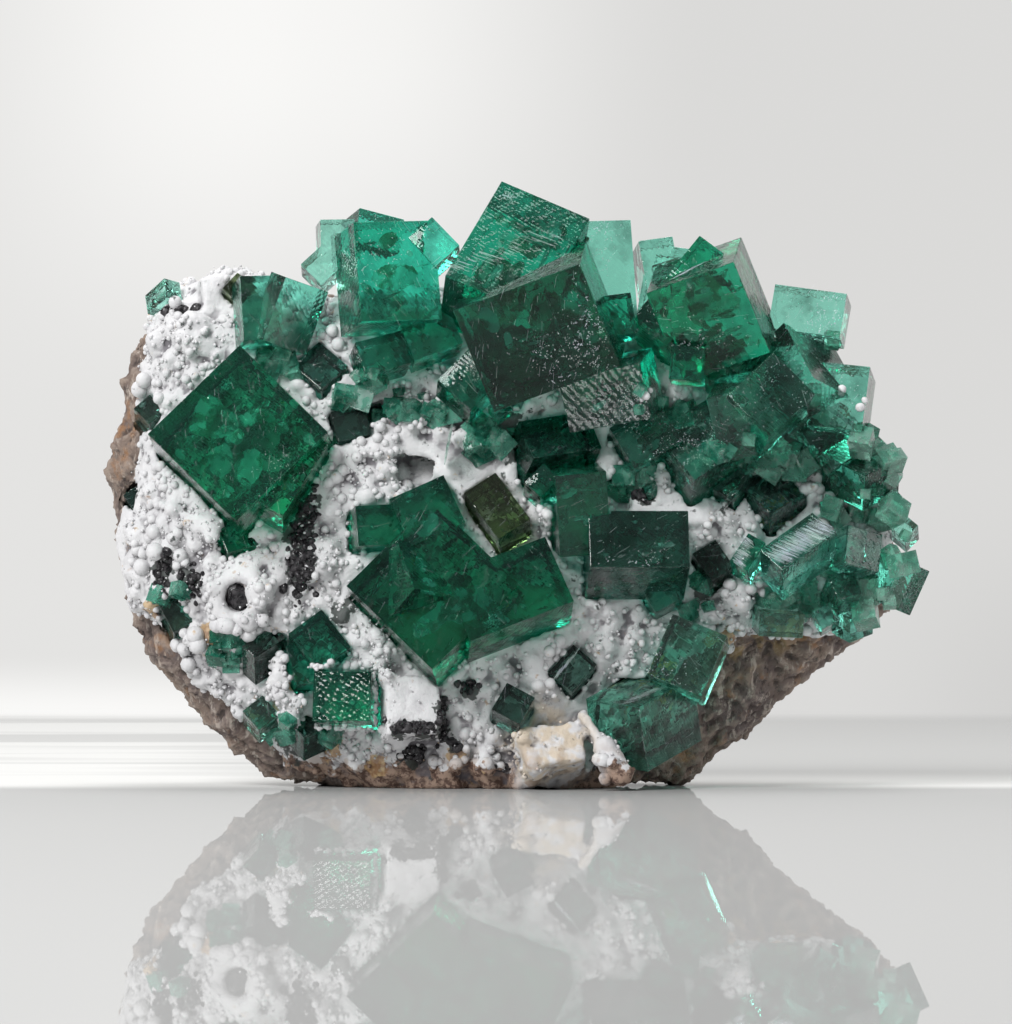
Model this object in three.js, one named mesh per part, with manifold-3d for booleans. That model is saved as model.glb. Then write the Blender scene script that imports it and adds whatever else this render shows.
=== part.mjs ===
// Fluorite specimen: green cube crystals grown on a white knobby crust over brown host rock.
// Millimetres, +Z up. The crystals face -Y. The origin is in the middle of the flat cut that the
// rock stands on.
import * as THREE from "three";
import { mergeVertices } from "three/addons/utils/BufferGeometryUtils.js";
import { ImprovedNoise } from "three/addons/math/ImprovedNoise.js";
import Module from "manifold-3d";

const wasm = await Module();
wasm.setup();

// Driving dimensions
const GAP = 0.3; // between pieces that touch
const MERGE_DISTANCE = 1e-4; // of a geometry's doubled vertices
const MIDDLE = [-2, 36]; // x and z that both outlines are drawn round
const CUT_SIZE = [200, 120, 60]; // of the block that takes away everything under the flat cut
const BREAK_SIZE = 120; // of the block that takes away the rock beyond a break
const ROCK_FRONT = 13; // from the middle plane to the front of the rock
const ROCK_BACK = 17;
const ROCK_ROUGHNESS = 2.4;
const CRUST_FRONT = 19.5; // from the middle plane to the front of the crust
const CRUST_BACK = 3; // from the middle plane to its back, where the rock takes its place
const CRUST_ROUGHNESS = 2;
const KNOB_COUNT = 27;
const KNOB_RADIUS = [1.5, 3.3]; // smallest and largest
const KNOB_SPREAD = 0.93; // how far out to the outline the knobs reach, as a share
const KNOB_STRAY = 3; // width of the square that a knob's place is drawn from
const KNOB_SINK = 0.5; // the most that a knob sinks into the crust, as a share of its radius
const GOLDEN_ANGLE = Math.PI * (3 - Math.sqrt(5)); // from each knob to the next, for an even spread

// Outlines as x and z, anticlockwise from the right
const ROCK_OUTLINE = [
  [56, 36], [55.5, 44], [50, 53], [43, 61], [34, 66], [20, 68], [2, 69], [-16, 70], [-30, 71], [-43, 73.5],
  [-50, 73], [-54, 69], [-55.5, 63], [-57, 58], [-57.5, 52], [-56.5, 48.5], [-59.5, 45.5], [-57.5, 41], [-58, 33],
  [-57, 25], [-53.5, 19.5], [-50, 15], [-47.5, 9], [-42, 5.5], [-36, 2], [-30, -1], [-24, -5], [-10, -8],
  [10, -8], [20, -5], [25, 1.5], [32, 6], [37.5, 10.5], [41, 14.5], [48, 19], [53, 22.5], [56, 28],
];
const CRUST_OUTLINE = [
  [54.5, 36], [54, 44], [49, 53], [42, 60.5], [33, 65.5], [19, 67.5], [2, 68.5], [-16, 70], [-30, 71], [-42, 74.5],
  [-49.5, 74], [-53.5, 70], [-54.5, 63], [-55.5, 58], [-56, 52], [-55, 47], [-57.5, 42], [-58, 33], [-57, 26.5],
  [-50.5, 20.5], [-46, 14], [-41, 8.5], [-34, 3.5], [-26, 0], [-18, -4], [-8, -7], [8, -7], [14, -3], [18, 5],
  [24, 12], [28, 20], [36, 22.5], [46, 22], [52, 25], [54, 30],
];

// Noise that is the same on every run: three octaves, each half as wide and half as strong as the
// last. Knobby noise has round tops and sharp creases, and is about as much inward as outward.
const OCTAVE_SHIFT = 7;
const KNOBBY_MEAN = 0.4;
const noise = new ImprovedNoise();
function roughness(point, width, knobby) {
  let sum = 0;
  for (let octave = 0; octave < 3; octave++) {
    const scale = 2 ** octave / width;
    const value = noise.noise(point.x * scale + OCTAVE_SHIFT * octave, point.y * scale, point.z * scale);
    sum += (knobby ? 2 * Math.abs(value) - KNOBBY_MEAN : value) / 2 ** octave;
  }
  return sum;
}

// A small repeatable generator of numbers from 0 to 1.
function sequence(seed) {
  let state = seed;
  return () => {
    state = (state * 1664525 + 1013904223) % 4294967296;
    return state / 4294967296;
  };
}

// Solids for joining and cutting, and back to three.js geometry.
function solidOf(geometry) {
  const bare = geometry.clone();
  bare.deleteAttribute("normal");
  bare.deleteAttribute("uv");
  const merged = mergeVertices(bare, MERGE_DISTANCE);
  return new wasm.Manifold(
    new wasm.Mesh({
      numProp: 3,
      vertProperties: new Float32Array(merged.attributes.position.array),
      triVerts: new Uint32Array(merged.index.array),
    }),
  );
}

function geometryOf(solid) {
  const { vertProperties, triVerts } = solid.getMesh();
  const geometry = new THREE.BufferGeometry();
  geometry.setAttribute("position", new THREE.BufferAttribute(vertProperties, 3));
  geometry.setIndex(new THREE.BufferAttribute(triVerts, 1));
  const flat = geometry.toNonIndexed();
  flat.computeVertexNormals();
  return flat;
}

function joined(solids) {
  return solids.reduce((sum, solid) => sum.add(solid));
}

// Cutting can leave loose crumbs: only the largest body is the piece.
function largest(solid) {
  return solid.decompose().reduce((best, body) => (body.volume() > best.volume() ? body : best));
}

// The directions of the three square edges that leave a crystal's near corner. Seen from the front
// they make the given angles in degrees, from +X towards +Z, each more than 90 from the next.
function edgeDirections(angles) {
  const [a, b, c] = angles.map(THREE.MathUtils.degToRad);
  const ab = -Math.cos(a - b);
  const ac = -Math.cos(a - c);
  const bc = -Math.cos(b - c);
  const slopes = [Math.sqrt((ab * ac) / bc), Math.sqrt((ab * bc) / ac), Math.sqrt((ac * bc) / ab)];
  const edges = [a, b, c].map((angle, i) => new THREE.Vector3(Math.cos(angle), slopes[i], Math.sin(angle)));
  return edges.map((edge) => edge.normalize());
}

// One crystal or square block: near corner, edge angles and edge lengths, larger all round by grow.
function block([corner, angles, size], grow = 0) {
  const directions = edgeDirections(angles);
  const basis = new THREE.Matrix4().makeBasis(...directions);
  const lengths = [...size];
  if (basis.determinant() < 0) {
    basis.makeBasis(directions[1], directions[0], directions[2]);
    [lengths[0], lengths[1]] = [lengths[1], lengths[0]];
  }
  const middle = new THREE.Vector3(...corner);
  directions.forEach((direction, i) => middle.addScaledVector(direction, size[i] / 2));
  const geometry = new THREE.BoxGeometry(...lengths.map((length) => length + 2 * grow));
  return solidOf(geometry.applyMatrix4(basis.setPosition(middle)));
}

function cluster(blocks, grow = 0) {
  return joined(blocks.map((each) => block(each, grow)));
}

// The distance from the middle to an outline in the direction of an angle.
function reach(outline, angle) {
  const corners = outline
    .map(([x, z]) => {
      const dx = x - MIDDLE[0];
      const dz = z - MIDDLE[1];
      return { angle: Math.atan2(dz, dx), radius: Math.hypot(dx, dz) };
    })
    .sort((p, q) => p.angle - q.angle);
  const next = corners.findIndex((corner) => corner.angle > angle);
  const after = corners[next < 0 ? 0 : next];
  const before = corners[(next < 0 ? 0 : next) - 1] ?? corners[corners.length - 1];
  const full = 2 * Math.PI;
  const span = (after.angle - before.angle + full) % full;
  const share = ((angle - before.angle + full) % full) / span;
  return THREE.MathUtils.lerp(before.radius, after.radius, share);
}

// A thick plate with an outline, bulging to the front and to the back, with a rough surface.
function plate({ outline, front, back, fullness, rough, width, knobby, spokes, rings }, grow = 0) {
  const sphere = new THREE.SphereGeometry(1, spokes, rings);
  const position = sphere.attributes.position;
  const point = new THREE.Vector3();
  for (let i = 0; i < position.count; i++) {
    point.fromBufferAttribute(position, i);
    // The sphere's poles face front and back, so that its spokes run out to the outline.
    const angle = Math.atan2(point.z, point.x);
    const out = Math.hypot(point.x, point.z) ** (2 / fullness) * (reach(outline, angle) + grow);
    const depth = Math.abs(point.y) ** (2 / fullness) * ((point.y < 0 ? front : back) + grow);
    const normal = point.clone();
    point.y = Math.sign(point.y) * depth;
    point.x = MIDDLE[0] + out * Math.cos(angle);
    point.z = MIDDLE[1] + out * Math.sin(angle);
    point.addScaledVector(normal, rough * roughness(point, width, knobby));
    position.setXYZ(i, point.x, point.y, point.z);
  }
  return solidOf(sphere);
}

// A lump of twenty flat facets, for knobs and pits. Its radius and place turn it its own way.
function ball([x, y, z], radius) {
  const lump = new THREE.IcosahedronGeometry(radius, 0).rotateX(radius).rotateZ(x);
  return solidOf(lump.translate(x, y, z));
}

// Host rock: the broken plate, with flat breaks on its back and sides.
const ROCK_PLATE = {
  outline: ROCK_OUTLINE,
  front: ROCK_FRONT,
  back: ROCK_BACK,
  fullness: 3,
  rough: ROCK_ROUGHNESS,
  width: 11,
  knobby: false,
  spokes: 40,
  rings: 13,
};
// Each break: a point on its face, and the way its face looks.
const BREAKS = [
  [[-38, 12, 52], [-0.55, 1, 0.25]],
  [[-30, 12.5, 18], [-0.35, 1, -0.6]],
  [[30, 12, 22], [0.5, 1, -0.5]],
  [[36, 12, 54], [0.6, 1, 0.35]],
  [[-4, 15.5, 54], [-0.05, 1, 0.28]],
  [[4, 15, 30], [0.1, 1, -0.16]],
  [[-14, 12, 66], [0, 1, 1.1]],
];

function beyond([point, facing]) {
  const direction = new THREE.Vector3(...facing).normalize();
  const turn = new THREE.Quaternion().setFromUnitVectors(new THREE.Vector3(0, 0, 1), direction);
  const geometry = new THREE.BoxGeometry(BREAK_SIZE, BREAK_SIZE, BREAK_SIZE).translate(0, 0, BREAK_SIZE / 2);
  return solidOf(geometry.applyQuaternion(turn).translate(...point));
}

const UNDER_CUT = solidOf(new THREE.BoxGeometry(...CUT_SIZE).translate(0, 0, -CUT_SIZE[2] / 2));

function rock(grow = 0) {
  return BREAKS.reduce((solid, each) => solid.subtract(beyond(each)), plate(ROCK_PLATE, grow));
}

// White crust: the layer in front of the rock, with knobs, coated blocks, fins, pits and a vug.
const CRUST_PLATE = {
  outline: CRUST_OUTLINE,
  front: CRUST_FRONT,
  back: CRUST_BACK,
  fullness: 3.2,
  rough: CRUST_ROUGHNESS,
  width: 9,
  knobby: true,
  spokes: 42,
  rings: 18,
};
const COATED_BLOCKS = [
  [[-45, -14, 68.5], [96, 4, 230], [5.5, 3.8, 6]],
  [[-18.5, -23.5, 8], [92, 0, 225], [8.5, 8, 7]],
  [[1.5, -25, 3.5], [100, 6, 250], [6, 9, 9]],
  [[-40, -18, 58], [98, 4, 240], [6, 7, 6]],
  [[-8, -22, 41], [112, 18, 250], [6, 8, 7]],
  [[17, -22, 38], [94, 1, 240], [5, 11, 6]],
];
const FINS = [
  [[-32.5, -20, 10], [110, 18, 250], [8.5, 1.8, 5]],
  [[14.5, -25, 2], [122, 30, 265], [11, 1.3, 5]],
  [[6.5, -24, 36], [128, 36, 262], [8.5, 1.2, 4]],
];
// Crevices and pits: middle and radius.
const PITS = [
  [[-31, -20, 36], 2.4],
  [[-31.5, -20, 40], 1.8],
  [[-30, -20, 32.5], 1.8],
  [[-50.5, -15, 32], 1.7],
  [[-14.5, -20, 5.5], 2.6],
  [[-48.5, -13, 69], 1.6],
  [[-50.5, -13, 67], 1.4],
  [[19, -19.5, 42.5], 1.7],
];
const IMPRINTS = [
  [[-15, -21.5, 43], [130, 35, 265], [6, 8, 4]],
  [[-22, -21.5, 53], [150, 28, 275], [7, 6, 4]],
];
const VUG = { middle: [-40, -18.2, 27.5], ring: 3.2, wall: 1.4, pit: 2.3 };

function knobs() {
  const random = sequence(11);
  const solids = [];
  for (let i = 0; i < KNOB_COUNT; i++) {
    const angle = THREE.MathUtils.euclideanModulo(i * GOLDEN_ANGLE + Math.PI, 2 * Math.PI) - Math.PI;
    const share = Math.sqrt((i + 0.5) / KNOB_COUNT) * KNOB_SPREAD;
    const out = share * reach(CRUST_OUTLINE, angle);
    const depth = CRUST_FRONT * (1 - share ** CRUST_PLATE.fullness) ** (1 / CRUST_PLATE.fullness);
    const radius = THREE.MathUtils.lerp(...KNOB_RADIUS, random() ** 1.5);
    const middle = [
      MIDDLE[0] + out * Math.cos(angle) + KNOB_STRAY * (random() - 0.5),
      -depth + KNOB_SINK * radius * random(),
      MIDDLE[1] + out * Math.sin(angle) + KNOB_STRAY * (random() - 0.5),
    ];
    solids.push(ball(middle, radius));
  }
  return solids;
}

function crust() {
  const [x, y, z] = VUG.middle;
  const ring = new THREE.TorusGeometry(VUG.ring, VUG.wall, 6, 14).rotateX(Math.PI / 2).translate(x, y, z);
  const raised = joined([
    plate(CRUST_PLATE),
    cluster(COATED_BLOCKS),
    cluster(FINS),
    ...knobs(),
    solidOf(ring),
  ]);
  const hollow = joined([
    ...PITS.map(([middle, radius]) => ball(middle, radius)),
    cluster(IMPRINTS),
    ball(VUG.middle, VUG.pit),
  ]);
  return raised.subtract(hollow);
}

// Colours and finishes
const DEEP_GREEN = { color: 0x0b5a3c, roughness: 0.06 };
const BRIGHT_GREEN = { color: 0x1f8f68, roughness: 0.06 };
const PALE_GREEN = { color: 0x7cc4a4, roughness: 0.1 };
const SMOKY_GREEN = { color: 0x2c463d, roughness: 0.12 };
const HOST_ROCK = { color: 0x7d6b5d, roughness: 0.95 };
const WHITE_CRUST = { color: 0xe9e6e2, roughness: 0.8 };

// Crystals: each block is [near corner], [angles of its three edges], [their lengths]. Crystals
// that have grown into each other are one solid, and a later solid gives way to an earlier one.
const CRYSTALS = {
  crystal_left_large: {
    look: DEEP_GREEN,
    blocks: [
      [[-40, -28, 38.5], [135.5, 44.3, 286], [18.2, 18.4, 18]],
      [[-33.3, -27, 39.3], [58, 150, 265], [12.6, 8, 9]],
      [[-41.5, -19, 34], [112, 15, 262], [6, 4.5, 5]],
    ],
  },
  crystals_crown: {
    look: DEEP_GREEN,
    blocks: [
      [[2.5, -31, 68], [60, 156.5, 262], [19, 14, 12]],
      [[9, -35, 75], [200, 292, 75], [19.4, 15.9, 15]],
      [[-6.5, -28, 54.5], [138, 45, 262], [6.5, 8, 7]],
      [[-2.5, -27, 53], [130, 39, 270], [2.5, 2.5, 4]],
      [[13.5, -24, 65], [100, 8, 235], [6, 4, 5]],
      [[17.5, -30, 61], [190, 283, 50], [12.2, 8.2, 10]],
      [[2.5, -25, 47.5], [112, 9, 245], [6.5, 10.8, 9]],
    ],
  },
  crystals_left_crown: {
    look: BRIGHT_GREEN,
    blocks: [
      [[-22, -28, 67], [95, 2, 212], [14.5, 12, 11]],
      [[-11.5, -25, 75], [134, 42, 275], [5.8, 4.6, 6]],
      [[-23, -18, 79], [84, 346, 215], [5, 7, 6]],
      [[-21.5, -25, 59.5], [108, 15, 240], [5, 7, 7]],
      [[-14.5, -24, 61.5], [113, 21, 250], [6.5, 7.5, 7]],
    ],
  },
  crystals_upper_right: {
    look: DEEP_GREEN,
    blocks: [
      [[31, -28, 75.5], [199.5, 292.5, 70], [13.5, 14.3, 13.5]],
      [[21.5, -24, 63.5], [143, 51, 280], [6.5, 16, 11]],
      [[26.5, -26, 58.5], [84, 175, 300], [5, 4.8, 5]],
    ],
  },
  crystals_twinned: {
    look: BRIGHT_GREEN,
    blocks: [
      [[36, -33, 50.5], [43, 135, 246], [9.4, 8.5, 13]],
      [[32, -31, 57], [192, 284, 60], [5.2, 9.6, 14]],
      [[41.5, -25, 43.5], [135, 33, 268], [5, 5.5, 7]],
    ],
  },
  crystals_right_pale: {
    look: PALE_GREEN,
    blocks: [
      [[42.5, -26, 59], [116.6, 334, 225], [12, 11.8, 10]],
      [[49.5, -22, 51.5], [82, 174, 300], [9.5, 8, 9]],
      [[46.5, -18, 65], [80, 172, 300], [6.5, 10.5, 7]],
    ],
  },
  crystals_cloudy: {
    look: SMOKY_GREEN,
    blocks: [
      [[17, -25, 46], [122, 31, 265], [7, 8, 8]],
      [[25.5, -26, 44.5], [130, 32, 262], [9.5, 9.5, 9]],
    ],
  },
  crystal_back_tall: {
    look: PALE_GREEN,
    blocks: [[[11, -19, 67.5], [94, 2, 228], [14.5, 6.6, 8]]],
  },
  crystal_back_rough: {
    look: PALE_GREEN,
    blocks: [
      [[26, -16, 66], [172, 80, 290], [9, 12, 9]],
      [[20, -15.5, 66], [100, 8, 240], [13.5, 5, 8]],
    ],
  },
  crystals_left_pale: {
    look: PALE_GREEN,
    blocks: [
      [[-28, -18, 76], [92, 1, 225], [6, 5, 6]],
      [[-28, -19, 72.5], [135, 43, 270], [4.3, 4.6, 6]],
    ],
  },
  crystal_teal: {
    look: BRIGHT_GREEN,
    blocks: [
      [[-33, -23, 73.5], [250, 341, 158], [9.6, 7.8, 4]],
      [[-39, -22, 64.5], [94, 1, 225], [9.5, 5.5, 6]],
    ],
  },
  crystals_lower_cluster: {
    look: DEEP_GREEN,
    blocks: [
      [[-12, -30, 17.5], [136, 44.5, 285], [17.4, 17.4, 12]],
      [[-14.5, -32, 29], [110, 350, 230], [9, 9, 9]],
      [[-15, -26, 35], [115, 24, 260], [7.5, 8.5, 8]],
      [[-22.5, -25, 35], [95, 3, 220], [5.8, 7.5, 7]],
      [[-6.5, -30, 21.5], [114, 21, 262], [10.5, 16, 10]],
    ],
  },
  crystal_brown: {
    look: SMOKY_GREEN,
    blocks: [[[-2.5, -25, 36], [127, 33, 275], [8.8, 5.5, 8]]],
  },
  crystal_pillar: {
    look: DEEP_GREEN,
    blocks: [
      [[5.5, -28, 45], [274, 5, 135], [11.8, 7.4, 10]],
      [[3.5, -26, 42], [138, 45, 265], [3.2, 4, 6]],
    ],
  },
  crystal_square: {
    look: SMOKY_GREEN,
    blocks: [
      [[10.5, -30, 32], [91.5, 0, 262], [8.8, 14.3, 12]],
      [[20, -22, 25.5], [120, 28, 265], [4, 4.5, 5]],
    ],
  },
  crystals_lower_right: {
    look: BRIGHT_GREEN,
    blocks: [
      [[26.5, -26, 13.5], [158, 67, 290], [8.5, 9.5, 10]],
      [[17.5, -27, 12], [172, 278, 28], [9.8, 10, 12.8]],
    ],
  },
  crystals_lilac: {
    look: BRIGHT_GREEN,
    blocks: [[[38, -27, 31.5], [35, 137, 275], [10, 5, 7.3]]],
  },
  crystal_lilac_small: {
    look: DEEP_GREEN,
    blocks: [[[33, -24, 31.5], [55, 150, 285], [5, 3, 5.5]]],
  },
  crystal_right_edge: {
    look: PALE_GREEN,
    blocks: [[[50, -22, 45], [152, 28, 268], [7.8, 7.8, 6]]],
  },
  crystals_right_low: {
    look: BRIGHT_GREEN,
    blocks: [
      [[47, -23, 32.5], [84, 345, 200], [5.8, 6, 7]],
      [[46, -21, 27.5], [110, 10, 250], [4, 4, 6]],
      [[48, -18, 24.5], [150, 20, 270], [4, 4.5, 4]],
      [[44, -19, 23], [120, 28, 265], [3, 3, 4]],
    ],
  },
  crystal_right_tip: {
    look: PALE_GREEN,
    blocks: [[[55.5, -19, 33], [246, 337.5, 152], [7, 5.2, 5.6]]],
  },
  crystal_framed: {
    look: DEEP_GREEN,
    blocks: [[[-21, -25, 10], [88, 180, 315], [7.2, 8.4, 8]]],
  },
  crystals_lower_left: {
    look: DEEP_GREEN,
    blocks: [
      [[-28.5, -22, 17], [128, 36, 268], [7, 6, 8]],
      [[-31.5, -20.5, 15], [105, 12, 240], [6, 5, 6]],
    ],
  },
  crystal_dark_sliver: {
    look: SMOKY_GREEN,
    blocks: [[[-37.5, -20, 19], [140, 32, 270], [3, 6, 6]]],
  },
  crystals_under_twins: {
    look: SMOKY_GREEN,
    blocks: [
      [[36.5, -21, 39.5], [135, 33, 268], [7.5, 7, 8]],
      [[31, -21, 41.5], [150, 55, 285], [6, 6, 7]],
    ],
  },
  crystal_right_cloudy: {
    look: SMOKY_GREEN,
    blocks: [[[45, -21, 45.5], [125, 34, 268], [7, 6.5, 7]]],
  },
  crystal_striated: {
    look: SMOKY_GREEN,
    blocks: [[[0.5, -25, 9.5], [60, 152, 265], [4.6, 4.6, 7]]],
  },
  crystal_slate: {
    look: SMOKY_GREEN,
    blocks: [[[8, -21, 14], [140, 48, 270], [4.5, 5.5, 5]]],
  },
  crystal_grey_green: {
    look: SMOKY_GREEN,
    blocks: [[[-28, -20, 57.5], [140, 41, 272], [6, 5.5, 6.5]]],
  },
  crystal_in_socket: {
    look: SMOKY_GREEN,
    blocks: [[[-25.5, -20, 50], [105, 12, 235], [4.5, 5, 5]]],
  },
  crystal_right_dark: {
    look: SMOKY_GREEN,
    blocks: [[[28, -21, 30], [125, 30, 265], [5, 4, 6]]],
  },
  crystal_ledge_pale: {
    look: PALE_GREEN,
    blocks: [[[35, -22, 25.5], [265.5, 357, 130], [3.5, 6.5, 6]]],
  },
  crystal_small_olive: {
    look: SMOKY_GREEN,
    blocks: [[[-40, -16, 70], [139, 47, 270], [3.2, 3.3, 5]]],
  },
  crystal_small_top: {
    look: PALE_GREEN,
    blocks: [[[-50.5, -11, 71], [100, 345, 220], [3.3, 2.8, 5]]],
  },
  crystal_small_left: {
    look: PALE_GREEN,
    blocks: [[[-53, -12, 52.5], [135, 42, 268], [3.4, 3.2, 6]]],
  },
  crystal_small_rim: {
    look: SMOKY_GREEN,
    blocks: [[[-55, -9, 39.5], [125, 34, 268], [3.5, 3, 6]]],
  },
  crystal_small_aqua: {
    look: PALE_GREEN,
    blocks: [[[-49.5, -14, 22.5], [118, 26, 268], [5, 4, 7]]],
  },
  crystal_small_round: {
    look: PALE_GREEN,
    blocks: [[[-37, -17, 8.5], [132, 38, 268], [3.8, 3.8, 6]]],
  },
  crystal_small_low: {
    look: SMOKY_GREEN,
    blocks: [[[-30.5, -18, 7.5], [135, 25, 268], [4, 5, 5]]],
  },
  crystal_small_edge: {
    look: PALE_GREEN,
    blocks: [[[54, -19, 39], [130, 38, 268], [3.2, 3.2, 5]]],
  },
  crystal_small_corner: {
    look: PALE_GREEN,
    blocks: [[[56, -17, 36], [140, 45, 280], [2.8, 2.8, 5]]],
  },
};

// Assembly: earlier crystals cut later ones, and all of them cut the crust and the rock.
const specimen = new THREE.Group();

function place(name, solid, look) {
  const mesh = new THREE.Mesh(geometryOf(solid), new THREE.MeshStandardMaterial({ metalness: 0, ...look }));
  mesh.name = name;
  specimen.add(mesh);
}

let grown;
for (const [name, { look, blocks }] of Object.entries(CRYSTALS)) {
  const whole = cluster(blocks).subtract(UNDER_CUT);
  place(name, largest(grown ? whole.subtract(grown) : whole), look);
  const roomy = cluster(blocks, GAP);
  grown = grown ? grown.add(roomy) : roomy;
}

const taken = grown.add(UNDER_CUT);
place("matrix_rock", largest(rock().subtract(taken)), HOST_ROCK);
place("white_crust", largest(crust().subtract(rock(GAP)).subtract(taken)), WHITE_CRUST);

export default specimen;
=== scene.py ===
"""Looks of the fluorite specimen: clear green cubes on a white knobby crust over broken brown rock."""

import math
import random

import bmesh
import bpy
import numpy as np
from bpy.props import FloatProperty, FloatVectorProperty, IntProperty, PointerProperty
from mathutils import Matrix, Quaternion, Vector, noise
from mathutils.bvhtree import BVHTree


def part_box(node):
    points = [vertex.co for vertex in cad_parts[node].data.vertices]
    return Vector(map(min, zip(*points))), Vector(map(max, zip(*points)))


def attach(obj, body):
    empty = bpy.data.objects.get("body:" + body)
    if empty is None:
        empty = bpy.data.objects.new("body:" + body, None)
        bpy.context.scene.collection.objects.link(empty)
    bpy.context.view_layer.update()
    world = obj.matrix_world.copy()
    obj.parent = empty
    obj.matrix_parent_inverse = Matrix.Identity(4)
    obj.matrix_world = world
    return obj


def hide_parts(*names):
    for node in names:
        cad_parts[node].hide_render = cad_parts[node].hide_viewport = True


bl_info = {
    "name": "Fluorite Specimen",
    "version": (1, 0, 0),
    "blender": (4, 5, 0),
    "location": "View3D > Sidebar > Fluorite",
    "description": "Green fluorite cubes on a white crust over broken rock",
    "category": "Object",
}

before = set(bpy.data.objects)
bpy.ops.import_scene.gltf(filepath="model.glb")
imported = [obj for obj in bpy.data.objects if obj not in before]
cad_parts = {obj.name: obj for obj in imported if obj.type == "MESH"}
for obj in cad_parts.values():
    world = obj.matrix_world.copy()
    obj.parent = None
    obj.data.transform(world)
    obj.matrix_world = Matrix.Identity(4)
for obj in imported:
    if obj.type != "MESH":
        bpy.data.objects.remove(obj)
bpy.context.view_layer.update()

MM = 0.001
BODY = "root"
FLAT_ANGLE = math.radians(1.0)  # faces that differ by less are one crystal face
EDGE_ANGLE = math.radians(30)  # edges that turn by more get a broken edge
EDGE_LENGTH = 12  # shortest edge that gets one, in widths of the broken edge
SAME_WAY = math.cos(math.radians(2))  # normals whose product is larger face the same way
SAME_PLANE = 0.3 * MM  # faces that lie nearer to each other along it are in one plane
WELD = 0.002 * MM  # corners that are nearer to each other are one
TOUCH = 0.1 * MM  # room left between the crystals and the raised crust or rock
FACE_LIFT = 0.01 * MM  # height of a mark above its crystal face
ROOT_CELL = 0.45 * MM  # size of the roots' mesh
ROOT_SKIN = 0.3 * MM  # clear crystal left over the roots
ROOT_BREAK = 3.4 * MM  # largest depth of the roots' broken front
ROCK_EDGE = -56 * MM  # left of this the crust ends in bare rock
FRONT = 0.35  # surfaces that turn away by less carry knobs and globules
FLUORITE_IOR = 1.434
FACE_SCRATCHES = 3500
FACE_DUST = 2500
VEIL_FLAKES = 120
ROOT_MIDDLE = (-2, 0, 36)  # millimetres; the roots' limit is the crust's hull shrunk about it
ROOT_SHARES = (0.93, 0.70, 0.93, 1.0)  # how far it is shrunk across, in depth and in height
# Starts of the random draws. The rock's one sets the offsets of the noise module's vector noise.
SEEDS = {"rock": 1, "knobs": 5, "globules": 7, "black": 3, "veils": 9, "small": 21, "marks": 13}


def mm(*values):
    """A point given in millimetres."""
    return Vector(values) * MM


# How each kind of crystal takes light: the colour that its inside lets through, how dense that
# colour is for each metre, and the tint of its surface.
KINDS = {
    "emerald": {"keeps": (0.0, 0.78, 0.70), "density": 310, "tint": (0.28, 0.86, 0.70)},
    "leaf": {"keeps": (0.0, 0.84, 0.70), "density": 125, "tint": (0.18, 0.94, 0.64)},
    "deep": {"keeps": (0.0, 0.76, 0.64), "density": 190, "tint": (0.22, 0.86, 0.66)},
    "bright": {"keeps": (0.0, 0.82, 0.73), "density": 210, "tint": (0.32, 0.90, 0.74)},
    "light": {"keeps": (0.02, 0.84, 0.74), "density": 95, "tint": (0.46, 0.95, 0.80)},
    "teal": {"keeps": (0.05, 0.78, 0.66), "density": 190, "tint": (0.46, 0.86, 0.74)},
    "pale": {"keeps": (0.1, 0.80, 0.68), "density": 120, "tint": (0.64, 0.92, 0.82)},
    "grey": {"keeps": (0.1, 0.66, 0.58), "density": 150, "tint": (0.42, 0.80, 0.70)},
    "olive": {"keeps": (0.3, 0.52, 0.18), "density": 150, "tint": (0.50, 0.62, 0.40)},
    "smoky": {"keeps": (0.12, 0.50, 0.43), "density": 150, "tint": (0.42, 0.64, 0.57)},
}
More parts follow.
